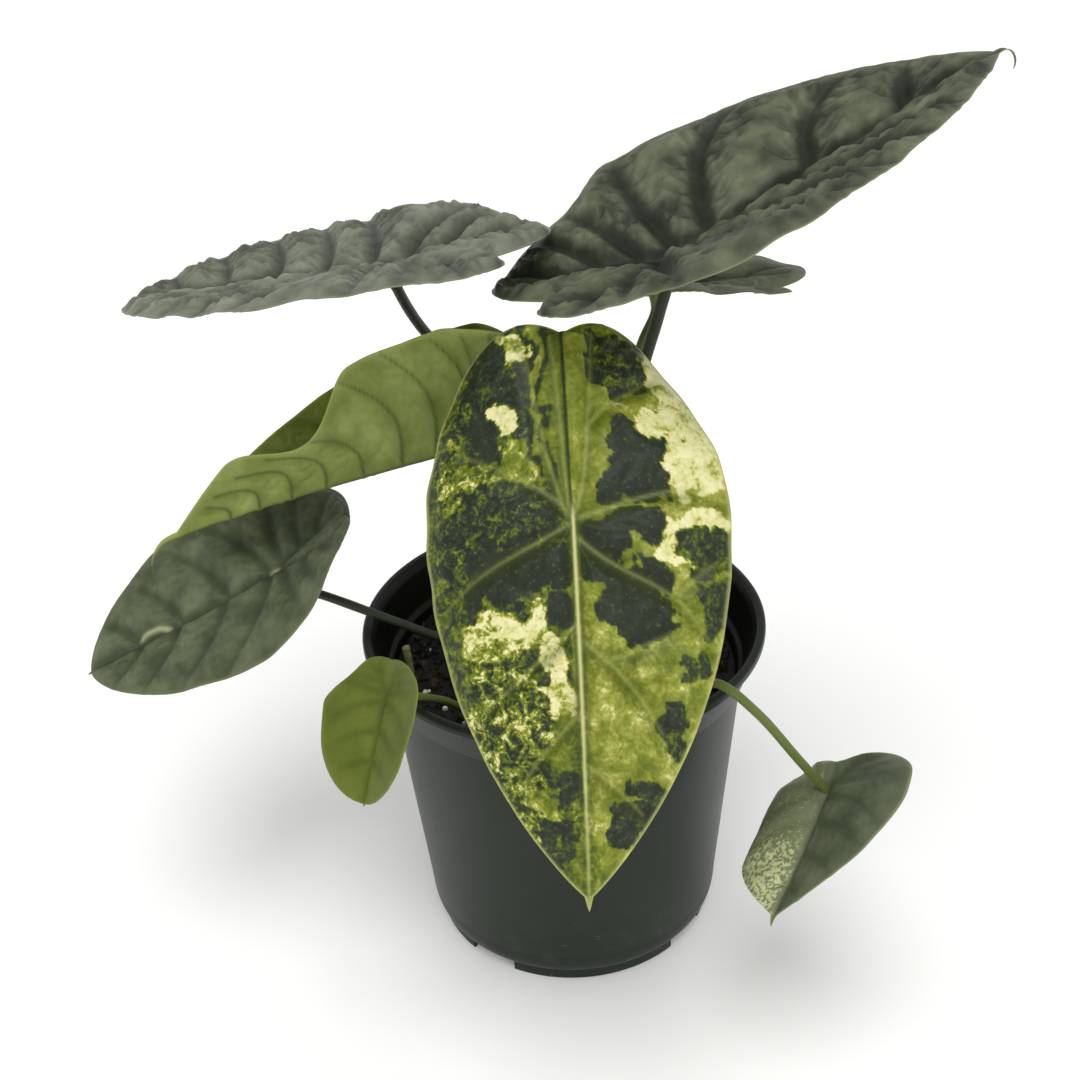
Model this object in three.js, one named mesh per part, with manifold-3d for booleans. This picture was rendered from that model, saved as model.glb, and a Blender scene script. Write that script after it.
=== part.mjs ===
// A potted alocasia: eight leaves on their stalks, rising from one crown in a round nursery pot.
// Millimetres, +Z up. The origin is the centre of the pot's underside; +X is to the right and
// +Y to the back, so the leaf that hangs over the front of the pot faces -Y.
import * as THREE from 'three';
import { mergeVertices } from 'three/addons/utils/BufferGeometryUtils.js';
import Module from 'manifold-3d';

const wasm = await Module();
wasm.setup();

// ---- driving dimensions ----------------------------------------------------------------------

const POT_HEIGHT = 132;
const RIM_RADIUS = 75;            // outside of the lip
const LIP_WIDTH = 3;              // how far the lip stands out from the rim band
const LIP_HEIGHT = 3.5;
const LIP_ROUND = 1;
const BAND_HEIGHT = 18;           // the wider band below the lip, lip included
const BAND_STEP = 2;              // the band stands this far out from the body
const BAND_FLARE = 3;             // the band widens by this much towards the lip
const FOOT_RADIUS = 55;
const FOOT_HEIGHT = 5;
const FOOT_WIDTH = 4;             // width of the ring that the pot stands on
const FOOT_INSET = 3;             // the body's lower end stands this far out from the foot
const FOOT_LEDGE = 1;             // the small ledge just above the foot
const CORNER_HEIGHT = 9;          // height of the rounded corner between body and foot
const EDGE = 1.5;                 // height of the sloping edges of the band, lip and floor disc
const WALL = 1.8;
const DISC_RADIUS = 18;           // the flat middle of the floor, level with the foot
const NOTCH_WIDTH = 20;           // drainage notches in the foot
const NOTCH_DEPTH = 12;
const NOTCH_ROOF = 0.2;           // the notches end this far below the floor
const NOTCH_ANGLES = [-128, -38, 52, 142];
const DRAIN_RADIUS = 4.5;
const DRAIN_CIRCLE = 41;
const DRAIN_COUNT = 8;

const SOIL_DROP = 20;             // soil surface below the lip
const GAP = 0.3;                  // between pieces that touch

const CROWN_RADIUS = 11;
const CROWN_HEIGHT = 38;
const CROWN_ABOVE_SOIL = 9;

const ROOT_COUNT = 6;
const ROOT_RADIUS = 1.2;
const ROOT_SPREAD = 42;           // how far the roots reach from the crown's axis
const ROOT_DEPTH = 85;            // how deep they end below the soil surface

const BLADE_THICKNESS = 1.2;
const NECK = 7;                   // straight end of a stalk, square to the blade
const PIERCE = 2.5;               // a stalk runs this far through the blade before it is cut
const STALK_STEPS = 12;
const STALK_SIDES = 8;
const FIRST_STALK_ANGLE = 12;     // where the first leaf's stalk leaves the crown

const STUB_RADIUS = 2.2;
const STUB_HEIGHT = 11;           // above the soil
const STUB_BURIED = 8;
const STUB_FROM_WALL = 6;
const STUB_ANGLE = 182;

// ---- values that follow from them ------------------------------------------------------------

const SOIL_LEVEL = POT_HEIGHT - SOIL_DROP;
const CROWN_TOP = SOIL_LEVEL + CROWN_ABOVE_SOIL;
const CROWN_BOTTOM = CROWN_TOP - CROWN_HEIGHT;
const BAND_TOP_RADIUS = RIM_RADIUS - LIP_WIDTH;
const BAND_BOTTOM_RADIUS = BAND_TOP_RADIUS - BAND_FLARE;
const BODY_TOP_RADIUS = BAND_BOTTOM_RADIUS - BAND_STEP;
const BODY_TOP = POT_HEIGHT - BAND_HEIGHT;
const BODY_BOTTOM = FOOT_HEIGHT + CORNER_HEIGHT;
const BODY_BOTTOM_RADIUS = FOOT_RADIUS + FOOT_INSET;
const FLOOR_TOP = FOOT_HEIGHT + WALL;       // inside floor, raised above the foot for drainage

const rad = THREE.MathUtils.degToRad;
const point = (x, y, z) => new THREE.Vector3(x, y, z);

/** A point of the plant, with its height measured from the soil surface. */
const above = (x, y, height) => point(x, y, SOIL_LEVEL + height);

/** A point at an angle and a radius around the pot's axis. */
const around = (degrees, radius, z) =>
  point(radius * Math.cos(rad(degrees)), radius * Math.sin(rad(degrees)), z);

// ---- solids ----------------------------------------------------------------------------------

/** A manifold solid from a closed three.js geometry. */
function solidOf(geometry) {
  const bare = geometry.clone();
  bare.deleteAttribute('normal');
  bare.deleteAttribute('uv');
  const merged = mergeVertices(bare, 1e-4);
  return new wasm.Manifold(new wasm.Mesh({
    numProp: 3,
    vertProperties: new Float32Array(merged.attributes.position.array),
    triVerts: new Uint32Array(merged.index.array),
  }));
}

/** The three.js geometry of a manifold solid. */
function geometryOf(solid) {
  const mesh = solid.getMesh();
  const geometry = new THREE.BufferGeometry();
  geometry.setAttribute('position', new THREE.BufferAttribute(mesh.vertProperties, 3));
  geometry.setIndex(new THREE.BufferAttribute(mesh.triVerts, 1));
  return geometry;
}

const cut = (solid, cutters) => cutters.reduce((rest, cutter) => rest.subtract(cutter), solid);

/** The largest of the pieces that a cut leaves. */
function largest(solid) {
  const pieces = solid.decompose();
  return pieces.reduce((best, piece) => (piece.volume() > best.volume() ? piece : best));
}

/** A body of revolution around +Z from a profile of [radius, z] pairs. */
function turned(profile, segments) {
  const points = profile.map(([radius, z]) => new THREE.Vector2(radius, z));
  const geometry = new THREE.LatheGeometry(points, segments);
  geometry.rotateX(Math.PI / 2);
  return geometry;
}

/** A round rod along a smooth curve through the given points. */
function rod(points, radius, steps, sides) {
  const section = new THREE.Shape();
  for (let i = 0; i < sides; i += 1) {
    const angle = (2 * Math.PI * i) / sides;
    const x = radius * Math.cos(angle);
    const y = radius * Math.sin(angle);
    if (i === 0) {
      section.moveTo(x, y);
    } else {
      section.lineTo(x, y);
    }
  }
  section.closePath();
  const path = new THREE.CatmullRomCurve3(points);
  return new THREE.ExtrudeGeometry(section, { steps, extrudePath: path, bevelEnabled: false });
}

const plant = new THREE.Group();

/** Adds one named piece with its own material. */
function addPiece(name, geometry, color, roughness, metalness = 0) {
  const material = new THREE.MeshStandardMaterial({ color, roughness, metalness });
  const mesh = new THREE.Mesh(geometry, material);
  mesh.name = name;
  plant.add(mesh);
  return mesh;
}

// ---- pot -------------------------------------------------------------------------------------

/** Radius of the inside of the body wall at a height. */
function innerRadius(z) {
  const share = (z - BODY_BOTTOM) / (BODY_TOP - BODY_BOTTOM);
  return THREE.MathUtils.lerp(BODY_BOTTOM_RADIUS, BODY_TOP_RADIUS, share) - WALL;
}

/** Points of the quarter turn that brings the body in to the foot, from the foot upwards. */
function cornerArc(steps) {
  const points = [];
  for (let i = 0; i <= steps; i += 1) {
    const angle = (Math.PI / 2) * (i / steps);
    points.push([
      FOOT_RADIUS + FOOT_LEDGE + (FOOT_INSET - FOOT_LEDGE) * Math.sin(angle),
      BODY_BOTTOM - (CORNER_HEIGHT - FOOT_LEDGE) * Math.cos(angle),
    ]);
  }
  return points;
}

/** The whole pot wall and floor as one closed section. */
function potProfile() {
  const lipUnderside = POT_HEIGHT - LIP_HEIGHT;
  return [
    [0, 0],
    [DISC_RADIUS, 0],
    [DISC_RADIUS + EDGE, FOOT_HEIGHT],
    [FOOT_RADIUS - FOOT_WIDTH, FOOT_HEIGHT],
    [FOOT_RADIUS - FOOT_WIDTH, 0],
    [FOOT_RADIUS, 0],
    [FOOT_RADIUS, FOOT_HEIGHT],
    ...cornerArc(4),
    [BODY_TOP_RADIUS, BODY_TOP],
    [BAND_BOTTOM_RADIUS, BODY_TOP + EDGE],
    [BAND_TOP_RADIUS, lipUnderside - EDGE],
    [RIM_RADIUS, lipUnderside],
    [RIM_RADIUS, POT_HEIGHT - LIP_ROUND],
    [RIM_RADIUS - LIP_ROUND, POT_HEIGHT],
    [BAND_TOP_RADIUS, POT_HEIGHT],
    [BAND_TOP_RADIUS - WALL, lipUnderside],
    [BAND_BOTTOM_RADIUS - WALL, BODY_TOP + EDGE],
    [innerRadius(BODY_TOP), BODY_TOP],
    [innerRadius(BODY_BOTTOM), BODY_BOTTOM],
    [innerRadius(BODY_BOTTOM) - FOOT_INSET, FLOOR_TOP],
    [DISC_RADIUS, FLOOR_TOP],
    [DISC_RADIUS - EDGE, WALL],
    [0, WALL],
  ];
}

function potSolid() {
  const notches = NOTCH_ANGLES.map((angle) => {
    const block = new THREE.BoxGeometry(NOTCH_DEPTH, NOTCH_WIDTH, 2 * (FOOT_HEIGHT - NOTCH_ROOF));
    block.translate(FOOT_RADIUS, 0, 0);
    block.rotateZ(rad(angle));
    return solidOf(block);
  });
  const drains = [];
  for (let i = 0; i < DRAIN_COUNT; i += 1) {
    const drain = new THREE.CylinderGeometry(DRAIN_RADIUS, DRAIN_RADIUS, 4 * FOOT_HEIGHT, 16);
    drain.rotateX(Math.PI / 2);
    const angle = NOTCH_ANGLES[0] + (360 * i) / DRAIN_COUNT;
    const centre = around(angle, DRAIN_CIRCLE, FOOT_HEIGHT);
    drain.translate(centre.x, centre.y, centre.z);
    drains.push(solidOf(drain));
  }
  return cut(solidOf(turned(potProfile(), 48)), [...notches, ...drains]);
}

// ---- crown and roots -------------------------------------------------------------------------

/** The stem base, grown by a clearance where it is used to cut its neighbours. */
function crownSolid(grow = 0) {
  const radius = CROWN_RADIUS + grow;
  const top = CROWN_TOP + grow;
  const bottom = CROWN_BOTTOM - grow;
  const height = top - bottom;
  const profile = [
    [0, bottom],
    [radius * 0.55, bottom + height * 0.04],
    [radius * 0.9, bottom + height * 0.16],
    [radius, bottom + height * 0.36],
    [radius * 0.93, bottom + height * 0.58],
    [radius * 0.76, bottom + height * 0.78],
    [radius * 0.5, bottom + height * 0.93],
    [0, top],
  ];
  return solidOf(turned(profile, 24));
}

function rootSolid(index, grow = 0) {
  const angle = 20 + (360 * index) / ROOT_COUNT;
  const start = CROWN_BOTTOM + CROWN_HEIGHT * 0.3;
  const end = SOIL_LEVEL - ROOT_DEPTH;
  const route = [
    around(angle, CROWN_RADIUS * 0.5, start),
    around(angle + 5, CROWN_RADIUS * 1.8, THREE.MathUtils.lerp(start, end, 0.12)),
    around(angle + 12, ROOT_SPREAD * 0.8, THREE.MathUtils.lerp(start, end, 0.42)),
    around(angle + 24, ROOT_SPREAD, THREE.MathUtils.lerp(start, end, 0.75)),
    around(angle + 42, ROOT_SPREAD * 0.9, end),
  ];
  const tip = new THREE.SphereGeometry(ROOT_RADIUS + 2.5 * grow, 6, 3);
  tip.translate(...route.at(-1));
  return solidOf(rod(route, ROOT_RADIUS + grow, 8, 6)).add(solidOf(tip));
}

// ---- leaves ----------------------------------------------------------------------------------
//
// A blade lies in its own frame: s runs along the midrib from the stalk to the tip, t across it.
// length, lobe and width are its sizes: stalk to tip, stalk to the end of the back lobes, and
// across both halves. lobeWidth is the share of a half that the back lobe's centre stands out;
// taper and fullness shape the front margin. arch and back bend the midrib down towards the tip
// and the lobes, fold lifts each half (left, right) at the stalk and backFold at the lobes, and
// cup rolls each half on towards its margin. All angles are in degrees.

/** The margin, as [s, t] pairs from the tip round the left half to the notch and back. */
function bladeMargin(leaf, stepsPerQuarter) {
  const half = leaf.width / 2;
  const left = [];
  for (let i = 0; i < stepsPerQuarter; i += 1) {
    const share = Math.cos((Math.PI / 2) * (i / stepsPerQuarter));
    left.push([leaf.length * share, half * (1 - share ** leaf.taper) ** leaf.fullness]);
  }
  const notch = Math.acos(-leaf.lobeWidth / (1 - leaf.lobeWidth));
  for (let i = 0; i <= stepsPerQuarter; i += 1) {
    const turn = notch * (i / stepsPerQuarter);
    const across = leaf.lobeWidth + (1 - leaf.lobeWidth) * Math.cos(turn);
    left.push([-leaf.lobe * Math.sin(turn), i < stepsPerQuarter ? half * across : 0]);
  }
  const right = left.slice(1, -1).reverse().map(([s, t]) => [s, -t]);
  return [...left, ...right];
}

/** A point of the blade's middle surface. */
function bladePoint(leaf, s, t) {
  const bend = s >= 0 ? rad(leaf.arch) / leaf.length : -rad(leaf.back) / leaf.lobe;
  const turn = bend * s;
  const towardsLobe = THREE.MathUtils.smoothstep(-s / leaf.lobe, 0, 1);
  const side = t >= 0 ? 0 : 1;
  const fold = rad(THREE.MathUtils.lerp(leaf.fold[side], leaf.backFold[side], towardsLobe));
  const roll = rad(leaf.cup[side]) / (leaf.width / 2);
  const reach = Math.abs(t);
  const across = (Math.sin(fold) - Math.sin(fold - roll * reach)) / roll;
  const lift = (Math.cos(fold - roll * reach) - Math.cos(fold)) / roll;
  return point(
    Math.sin(turn) / bend + Math.sin(turn) * lift,
    Math.sign(t) * across,
    -(1 - Math.cos(turn)) / bend + Math.cos(turn) * lift,
  );
}

/** The blade as a closed sheet with its middle surface on bladePoint. */
function bladeGeometry(leaf, thickness) {
  const rings = leaf.rings;
  const margin = bladeMargin(leaf, leaf.marginSteps);
  const count = margin.length;
  const middle = [bladePoint(leaf, 0, 0)];
  for (let ring = 1; ring <= rings; ring += 1) {
    for (const [s, t] of margin) {
      middle.push(bladePoint(leaf, (s * ring) / rings, (t * ring) / rings));
    }
  }
  const at = (ring, i) => (ring === 0 ? 0 : 1 + (ring - 1) * count + (i % count));
  const upper = [];
  for (let ring = 0; ring < rings; ring += 1) {
    for (let i = 0; i < count; i += 1) {
      upper.push([at(ring, i), at(ring + 1, i), at(ring + 1, i + 1)]);
      if (ring > 0) {
        upper.push([at(ring, i), at(ring + 1, i + 1), at(ring, i + 1)]);
      }
    }
  }
  const sheet = new THREE.BufferGeometry().setFromPoints(middle);
  sheet.setIndex(upper.flat());
  sheet.computeVertexNormals();
  const normals = sheet.attributes.normal;
  const offset = (vertex, i, distance) =>
    vertex.clone().addScaledVector(point(normals.getX(i), normals.getY(i), normals.getZ(i)), distance);
  const total = middle.length;
  const faces = [...upper];
  for (const [a, b, c] of upper) {
    faces.push([c + total, b + total, a + total]);
  }
  for (let i = 0; i < count; i += 1) {
    const a = at(rings, i);
    const b = at(rings, i + 1);
    faces.push([b, a, a + total], [b, a + total, b + total]);
  }
  const vertices = [
    ...middle.map((vertex, i) => offset(vertex, i, thickness / 2)),
    ...middle.map((vertex, i) => offset(vertex, i, -thickness / 2)),
  ];
  const geometry = new THREE.BufferGeometry().setFromPoints(vertices);
  geometry.setIndex(faces.flat());
  return geometry;
}

/** Where a blade stands: its stalk's end, then roll, pitch (tip up) and yaw. */
function bladeMatrix(leaf) {
  const [roll, pitch, yaw] = leaf.turn.map(rad);
  const rotation = new THREE.Quaternion().setFromEuler(new THREE.Euler(roll, -pitch, yaw, 'ZYX'));
  return new THREE.Matrix4().compose(leaf.at, rotation, point(1, 1, 1));
}

/** The stalk from the crown to the blade, cut back to leave a gap at both. */
function stalkSolid(leaf, crownAngle, crownCutter) {
  const matrix = bladeMatrix(leaf);
  const end = (distance) => point(0, 0, distance).applyMatrix4(matrix);
  const neck = leaf.neck ?? NECK;
  const root = around(crownAngle, CROWN_RADIUS * 0.55, CROWN_TOP - leaf.rootDrop);
  const shoulder = around(crownAngle, CROWN_RADIUS, root.z + leaf.rootRise);
  const route = [root, shoulder, ...leaf.route, end(-neck), end(PIERCE)];
  const stalk = solidOf(rod(route, leaf.stalkRadius, leaf.stalkSteps ?? STALK_STEPS, STALK_SIDES));
  const blade = bladeGeometry(leaf, BLADE_THICKNESS + 2 * GAP).applyMatrix4(matrix);
  return largest(cut(stalk, [crownCutter, solidOf(blade)]));
}

/** A point on a stalk that passes over the rim, lifted clear of the lip. */
const overRim = (degrees, lift) => around(degrees, RIM_RADIUS, POT_HEIGHT + lift);

/** A point on the way from the crown to a crossing of the rim, at a height above the soil. */
function towards(crossing, share, height) {
  return above(crossing.x * share, crossing.y * share, height);
}

/** A point on that way, at a height from the top of the lip. */
function nearRim(crossing, share, lift) {
  return point(crossing.x * share, crossing.y * share, POT_HEIGHT + lift);
}

const lowerLeftRim = overRim(178, 5);
const smallLeftRim = overRim(224, 5.5);
const lowerRightRim = overRim(-46, 5);
const beyond = (crossing, x, y, z) => crossing.clone().add(point(x, y, z));

const LEAVES = {
  upper_right: {
    length: 140, lobe: 53, width: 119, lobeWidth: 0.41, taper: 2.4, fullness: 0.9,
    arch: -6.4, back: 22, fold: [28.3, 6.4], backFold: [3, 3.6], cup: [3, 1],
    at: above(38.2, 5, 154.5), turn: [-13.2, 18.1, 22.3],
    route: [above(12, 5, 40), above(22, 6, 80), above(31.6, 6, 119), above(36.5, 3.5, 138)],
    rootDrop: 6, rootRise: 14, stalkRadius: 3,
    color: 0x3f4a41, stalkColor: 0x2c3526, rings: 4, marginSteps: 10,
  },
  back: {
    length: 54, lobe: 52, width: 59, lobeWidth: 0.42, taper: 2.2, fullness: 0.9,
    arch: -2.2, back: 3, fold: [30, 24], backFold: [24, 18], cup: [17, 18],
    at: above(38.4, 40, 130.8), turn: [3.1, -3, 158.9],
    route: [above(9, 11, 42), above(20, 21, 83), above(33.2, 31, 116)],
    rootDrop: 6, rootRise: 14, stalkRadius: 2.2,
    color: 0x4a5549, stalkColor: 0x7f9a4a, rings: 3, marginSteps: 8,
  },
  upper_left: {
    length: 112.5, lobe: 50.3, width: 109.5, lobeWidth: 0.39, taper: 2.4, fullness: 0.8,
    arch: -3.8, back: -8.8, fold: [12, 13.4], backFold: [11.7, 3], cup: [3, 16],
    at: above(-53.5, 20, 151.2), turn: [-0.2, -14.3, 158.1],
    route: [above(-5, 23, 38), above(-13, 42, 68), above(-27, 48, 95), above(-45, 40, 120)],
    rootDrop: 6, rootRise: 14, stalkRadius: 2.5,
    color: 0x57635a, stalkColor: 0x2f3a2a, rings: 4, marginSteps: 10,
  },
  lime: {
    length: 126.3, lobe: 34.3, width: 90.8, lobeWidth: 0.39, taper: 2.06, fullness: 1.06,
    arch: 5, back: 12.3, fold: [40, 98], backFold: [31, 60], cup: [25, 0.01],
    at: above(-24.2, -1, 95.8), turn: [55.8, -17.7, 171.5],
    route: [above(-13, 4, 38), above(-20, 1, 66)],
    rootDrop: 6, rootRise: 14, stalkRadius: 2.5,
    color: 0x6f8537, stalkColor: 0x78913f, rings: 4, marginSteps: 10,
  },
  lower_left: {
    length: 79.6, lobe: 35.9, width: 90.2, lobeWidth: 0.16, taper: 2.4, fullness: 0.7,
    arch: -7.4, back: 10, fold: [2.3, 25], backFold: [18, 2.3], cup: [8, 7.6],
    at: beyond(lowerLeftRim, -31.1, 7.4, 14.1), turn: [-2.7, -27, -169.2],
    route: [
      towards(lowerLeftRim, 0.34, 7), towards(lowerLeftRim, 0.6, 11.5),
      nearRim(lowerLeftRim, 0.8, -1.5), beyond(lowerLeftRim, -14, 3, 6),
    ],
    rootDrop: 5, rootRise: 2, stalkRadius: 2,
    color: 0x46543f, stalkColor: 0x33431f, rings: 3, marginSteps: 8,
  },
  small_left: {
    length: 36, lobe: 13, width: 45.5, lobeWidth: 0.2, taper: 2.6, fullness: 0.52,
    arch: 3, back: 11, fold: [18.5, 19.5], backFold: [19.7, 0], cup: [-2.4, 7],
    at: beyond(smallLeftRim, -7.1, -9.9, 7.4), turn: [19.8, -48.6, -112.6],
    route: [
      towards(smallLeftRim, 0.35, 4), towards(smallLeftRim, 0.63, 4.5),
      nearRim(smallLeftRim, 0.82, -4), smallLeftRim,
    ],
    rootDrop: 5, rootRise: 0, stalkRadius: 1.6, neck: 3,
    color: 0x5d6f2c, stalkColor: 0x4d5f2b, rings: 3, marginSteps: 7,
  },
  variegated: {
    length: 116.5, lobe: 66.3, width: 98.5, lobeWidth: 0.29, taper: 2.06, fullness: 0.92,
    arch: 11, back: -7.4, fold: [7.5, -10.5], backFold: [-23, -21], cup: [12, 26.5],
    at: above(3.3, -65, 99.7), turn: [-5.5, -49.8, -90],
    route: [above(1, -15, 40), above(2, -32, 72), above(3, -51, 91)],
    rootDrop: 6, rootRise: 14, stalkRadius: 2.8,
    color: 0x7d9148, stalkColor: 0x6f8a3c, rings: 4, marginSteps: 10,
  },
  lower_right: {
    length: 52.7, lobe: 13.6, width: 78, lobeWidth: 0.34, taper: 2.14, fullness: 0.92,
    arch: -10.6, back: -2.3, fold: [28, 9.8], backFold: [25, -10], cup: [12.9, 78],
    at: beyond(lowerRightRim, 37.6, -8, -42.5), turn: [18, -22.7, -119],
    route: [
      towards(lowerRightRim, 0.5, 9), nearRim(lowerRightRim, 0.84, -0.5), lowerRightRim,
      beyond(lowerRightRim, 11.5, -7, -7.5), beyond(lowerRightRim, 26.8, -8, -28.5),
    ],
    rootDrop: 5, rootRise: 2, stalkRadius: 1.9, stalkSteps: 18, neck: 4,
    color: 0x56624a, stalkColor: 0x5f6f33, rings: 3, marginSteps: 8,
  },
};

// ---- the assembly ----------------------------------------------------------------------------

/** The cut end of an old stalk, standing in the soil near the rim. */
function stubSolid(grow = 0) {
  const radius = innerRadius(SOIL_LEVEL) - STUB_FROM_WALL;
  const foot = around(STUB_ANGLE, radius, SOIL_LEVEL - STUB_BURIED - grow);
  const top = around(STUB_ANGLE, radius, SOIL_LEVEL + STUB_HEIGHT + grow);
  return solidOf(rod([foot, top], STUB_RADIUS + grow, 4, STALK_SIDES));
}

/** The potting mix, clear of the pot, with a pocket for the crown, the roots and the stub. */
function soilSolid(cutters) {
  const profile = [
    [0, WALL + GAP],
    [DISC_RADIUS - EDGE - GAP, WALL + GAP],
    [DISC_RADIUS - GAP, FLOOR_TOP + GAP],
    [innerRadius(BODY_BOTTOM) - FOOT_INSET - GAP, FLOOR_TOP + GAP],
    [innerRadius(BODY_BOTTOM) - GAP, BODY_BOTTOM],
    [innerRadius(SOIL_LEVEL) - GAP, SOIL_LEVEL],
    [0, SOIL_LEVEL],
  ];
  return cut(solidOf(turned(profile, 48)), cutters);
}

/** Where each stalk leaves the crown: in their order around it, with room for their thickness. */
function crownAngles(leaves) {
  const stalkWidths = leaves.reduce((sum, leaf) => sum + 2 * leaf.stalkRadius, 0);
  let angle = FIRST_STALK_ANGLE;
  return leaves.map((leaf, i) => {
    const here = angle;
    const next = leaves[(i + 1) % leaves.length];
    angle += (360 * (leaf.stalkRadius + next.stalkRadius)) / stalkWidths;
    return here;
  });
}

const crownCutter = crownSolid(GAP);
const stalkAngles = crownAngles(Object.values(LEAVES));
const rootIndices = Array.from({ length: ROOT_COUNT }, (_, index) => index);

addPiece('pot', geometryOf(potSolid()), 0x1f2421, 0.5);
addPiece('soil', geometryOf(soilSolid([
  crownCutter,
  stubSolid(GAP),
  ...rootIndices.map((index) => rootSolid(index, GAP)),
])), 0x15120e, 0.95);
addPiece('crown', geometryOf(crownSolid()), 0x4a4f2c, 0.7);
addPiece('old_stalk_stub', geometryOf(stubSolid()), 0x6c7440, 0.8);
for (const index of rootIndices) {
  const root = largest(cut(rootSolid(index), [crownCutter]));
  addPiece(`root_${index + 1}`, geometryOf(root), 0xb9a27a, 0.8);
}
Object.entries(LEAVES).forEach(([name, leaf], i) => {
  const stalk = stalkSolid(leaf, stalkAngles[i], crownCutter);
  addPiece(`stalk_${name}`, geometryOf(stalk), leaf.stalkColor, 0.55);
  const blade = addPiece(`leaf_${name}`, bladeGeometry(leaf, BLADE_THICKNESS), leaf.color, 0.5);
  blade.applyMatrix4(bladeMatrix(leaf));
});

export default plant;
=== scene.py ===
"""A potted alocasia as it looks: quilted and variegated blades on tapering stalks in a nursery pot.

Lengths are in millimetres until a mesh is made. The frame's origin is the centre of the pot's
underside, +X is to the right and +Y to the back. A blade has its own frame: s runs along the
midrib from the stalk to the tip, t across it, positive to the left of that direction.
"""

import math

import bpy
import bmesh
import numpy as np
from mathutils import Euler, Matrix, Vector


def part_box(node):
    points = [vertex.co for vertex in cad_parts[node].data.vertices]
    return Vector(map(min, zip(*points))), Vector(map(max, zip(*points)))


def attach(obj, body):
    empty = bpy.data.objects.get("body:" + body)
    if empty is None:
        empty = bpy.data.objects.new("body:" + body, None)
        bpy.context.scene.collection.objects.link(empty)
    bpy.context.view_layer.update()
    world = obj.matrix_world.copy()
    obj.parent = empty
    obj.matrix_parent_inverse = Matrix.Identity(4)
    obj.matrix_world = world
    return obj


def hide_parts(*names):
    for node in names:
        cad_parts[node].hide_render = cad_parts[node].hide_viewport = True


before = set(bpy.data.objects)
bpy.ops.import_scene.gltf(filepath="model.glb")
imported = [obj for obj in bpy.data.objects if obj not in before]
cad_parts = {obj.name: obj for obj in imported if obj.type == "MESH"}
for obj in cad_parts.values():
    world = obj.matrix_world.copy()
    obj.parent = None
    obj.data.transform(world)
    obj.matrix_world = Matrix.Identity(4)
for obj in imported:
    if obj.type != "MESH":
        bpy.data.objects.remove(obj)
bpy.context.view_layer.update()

MM = 0.001
POT_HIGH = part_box("pot")[1]
RIM_RADIUS = POT_HIGH[0] / MM
POT_HEIGHT = POT_HIGH[2] / MM
SOIL_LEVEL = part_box("soil")[1][2] / MM
SOIL_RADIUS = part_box("soil")[1][0] / MM
CROWN_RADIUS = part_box("crown")[1][0] / MM
CROWN_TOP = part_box("crown")[1][2] / MM
CROWN_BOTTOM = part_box("crown")[0][2] / MM

# ---- blades: the CAD's shapes, a little refined, then what only the eye needs ----------------
#
# fold, back_fold and cup are (left, right). quilt is how far the blade puffs up between its
# veins, wave how far its margin ripples and over what length. laterals are the s at which the
# side veins leave the midrib, left then right. tail is the drip tip's length and how far it
# bends down. trims are (side, centre, reach, depth): where a margin draws in.

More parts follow.
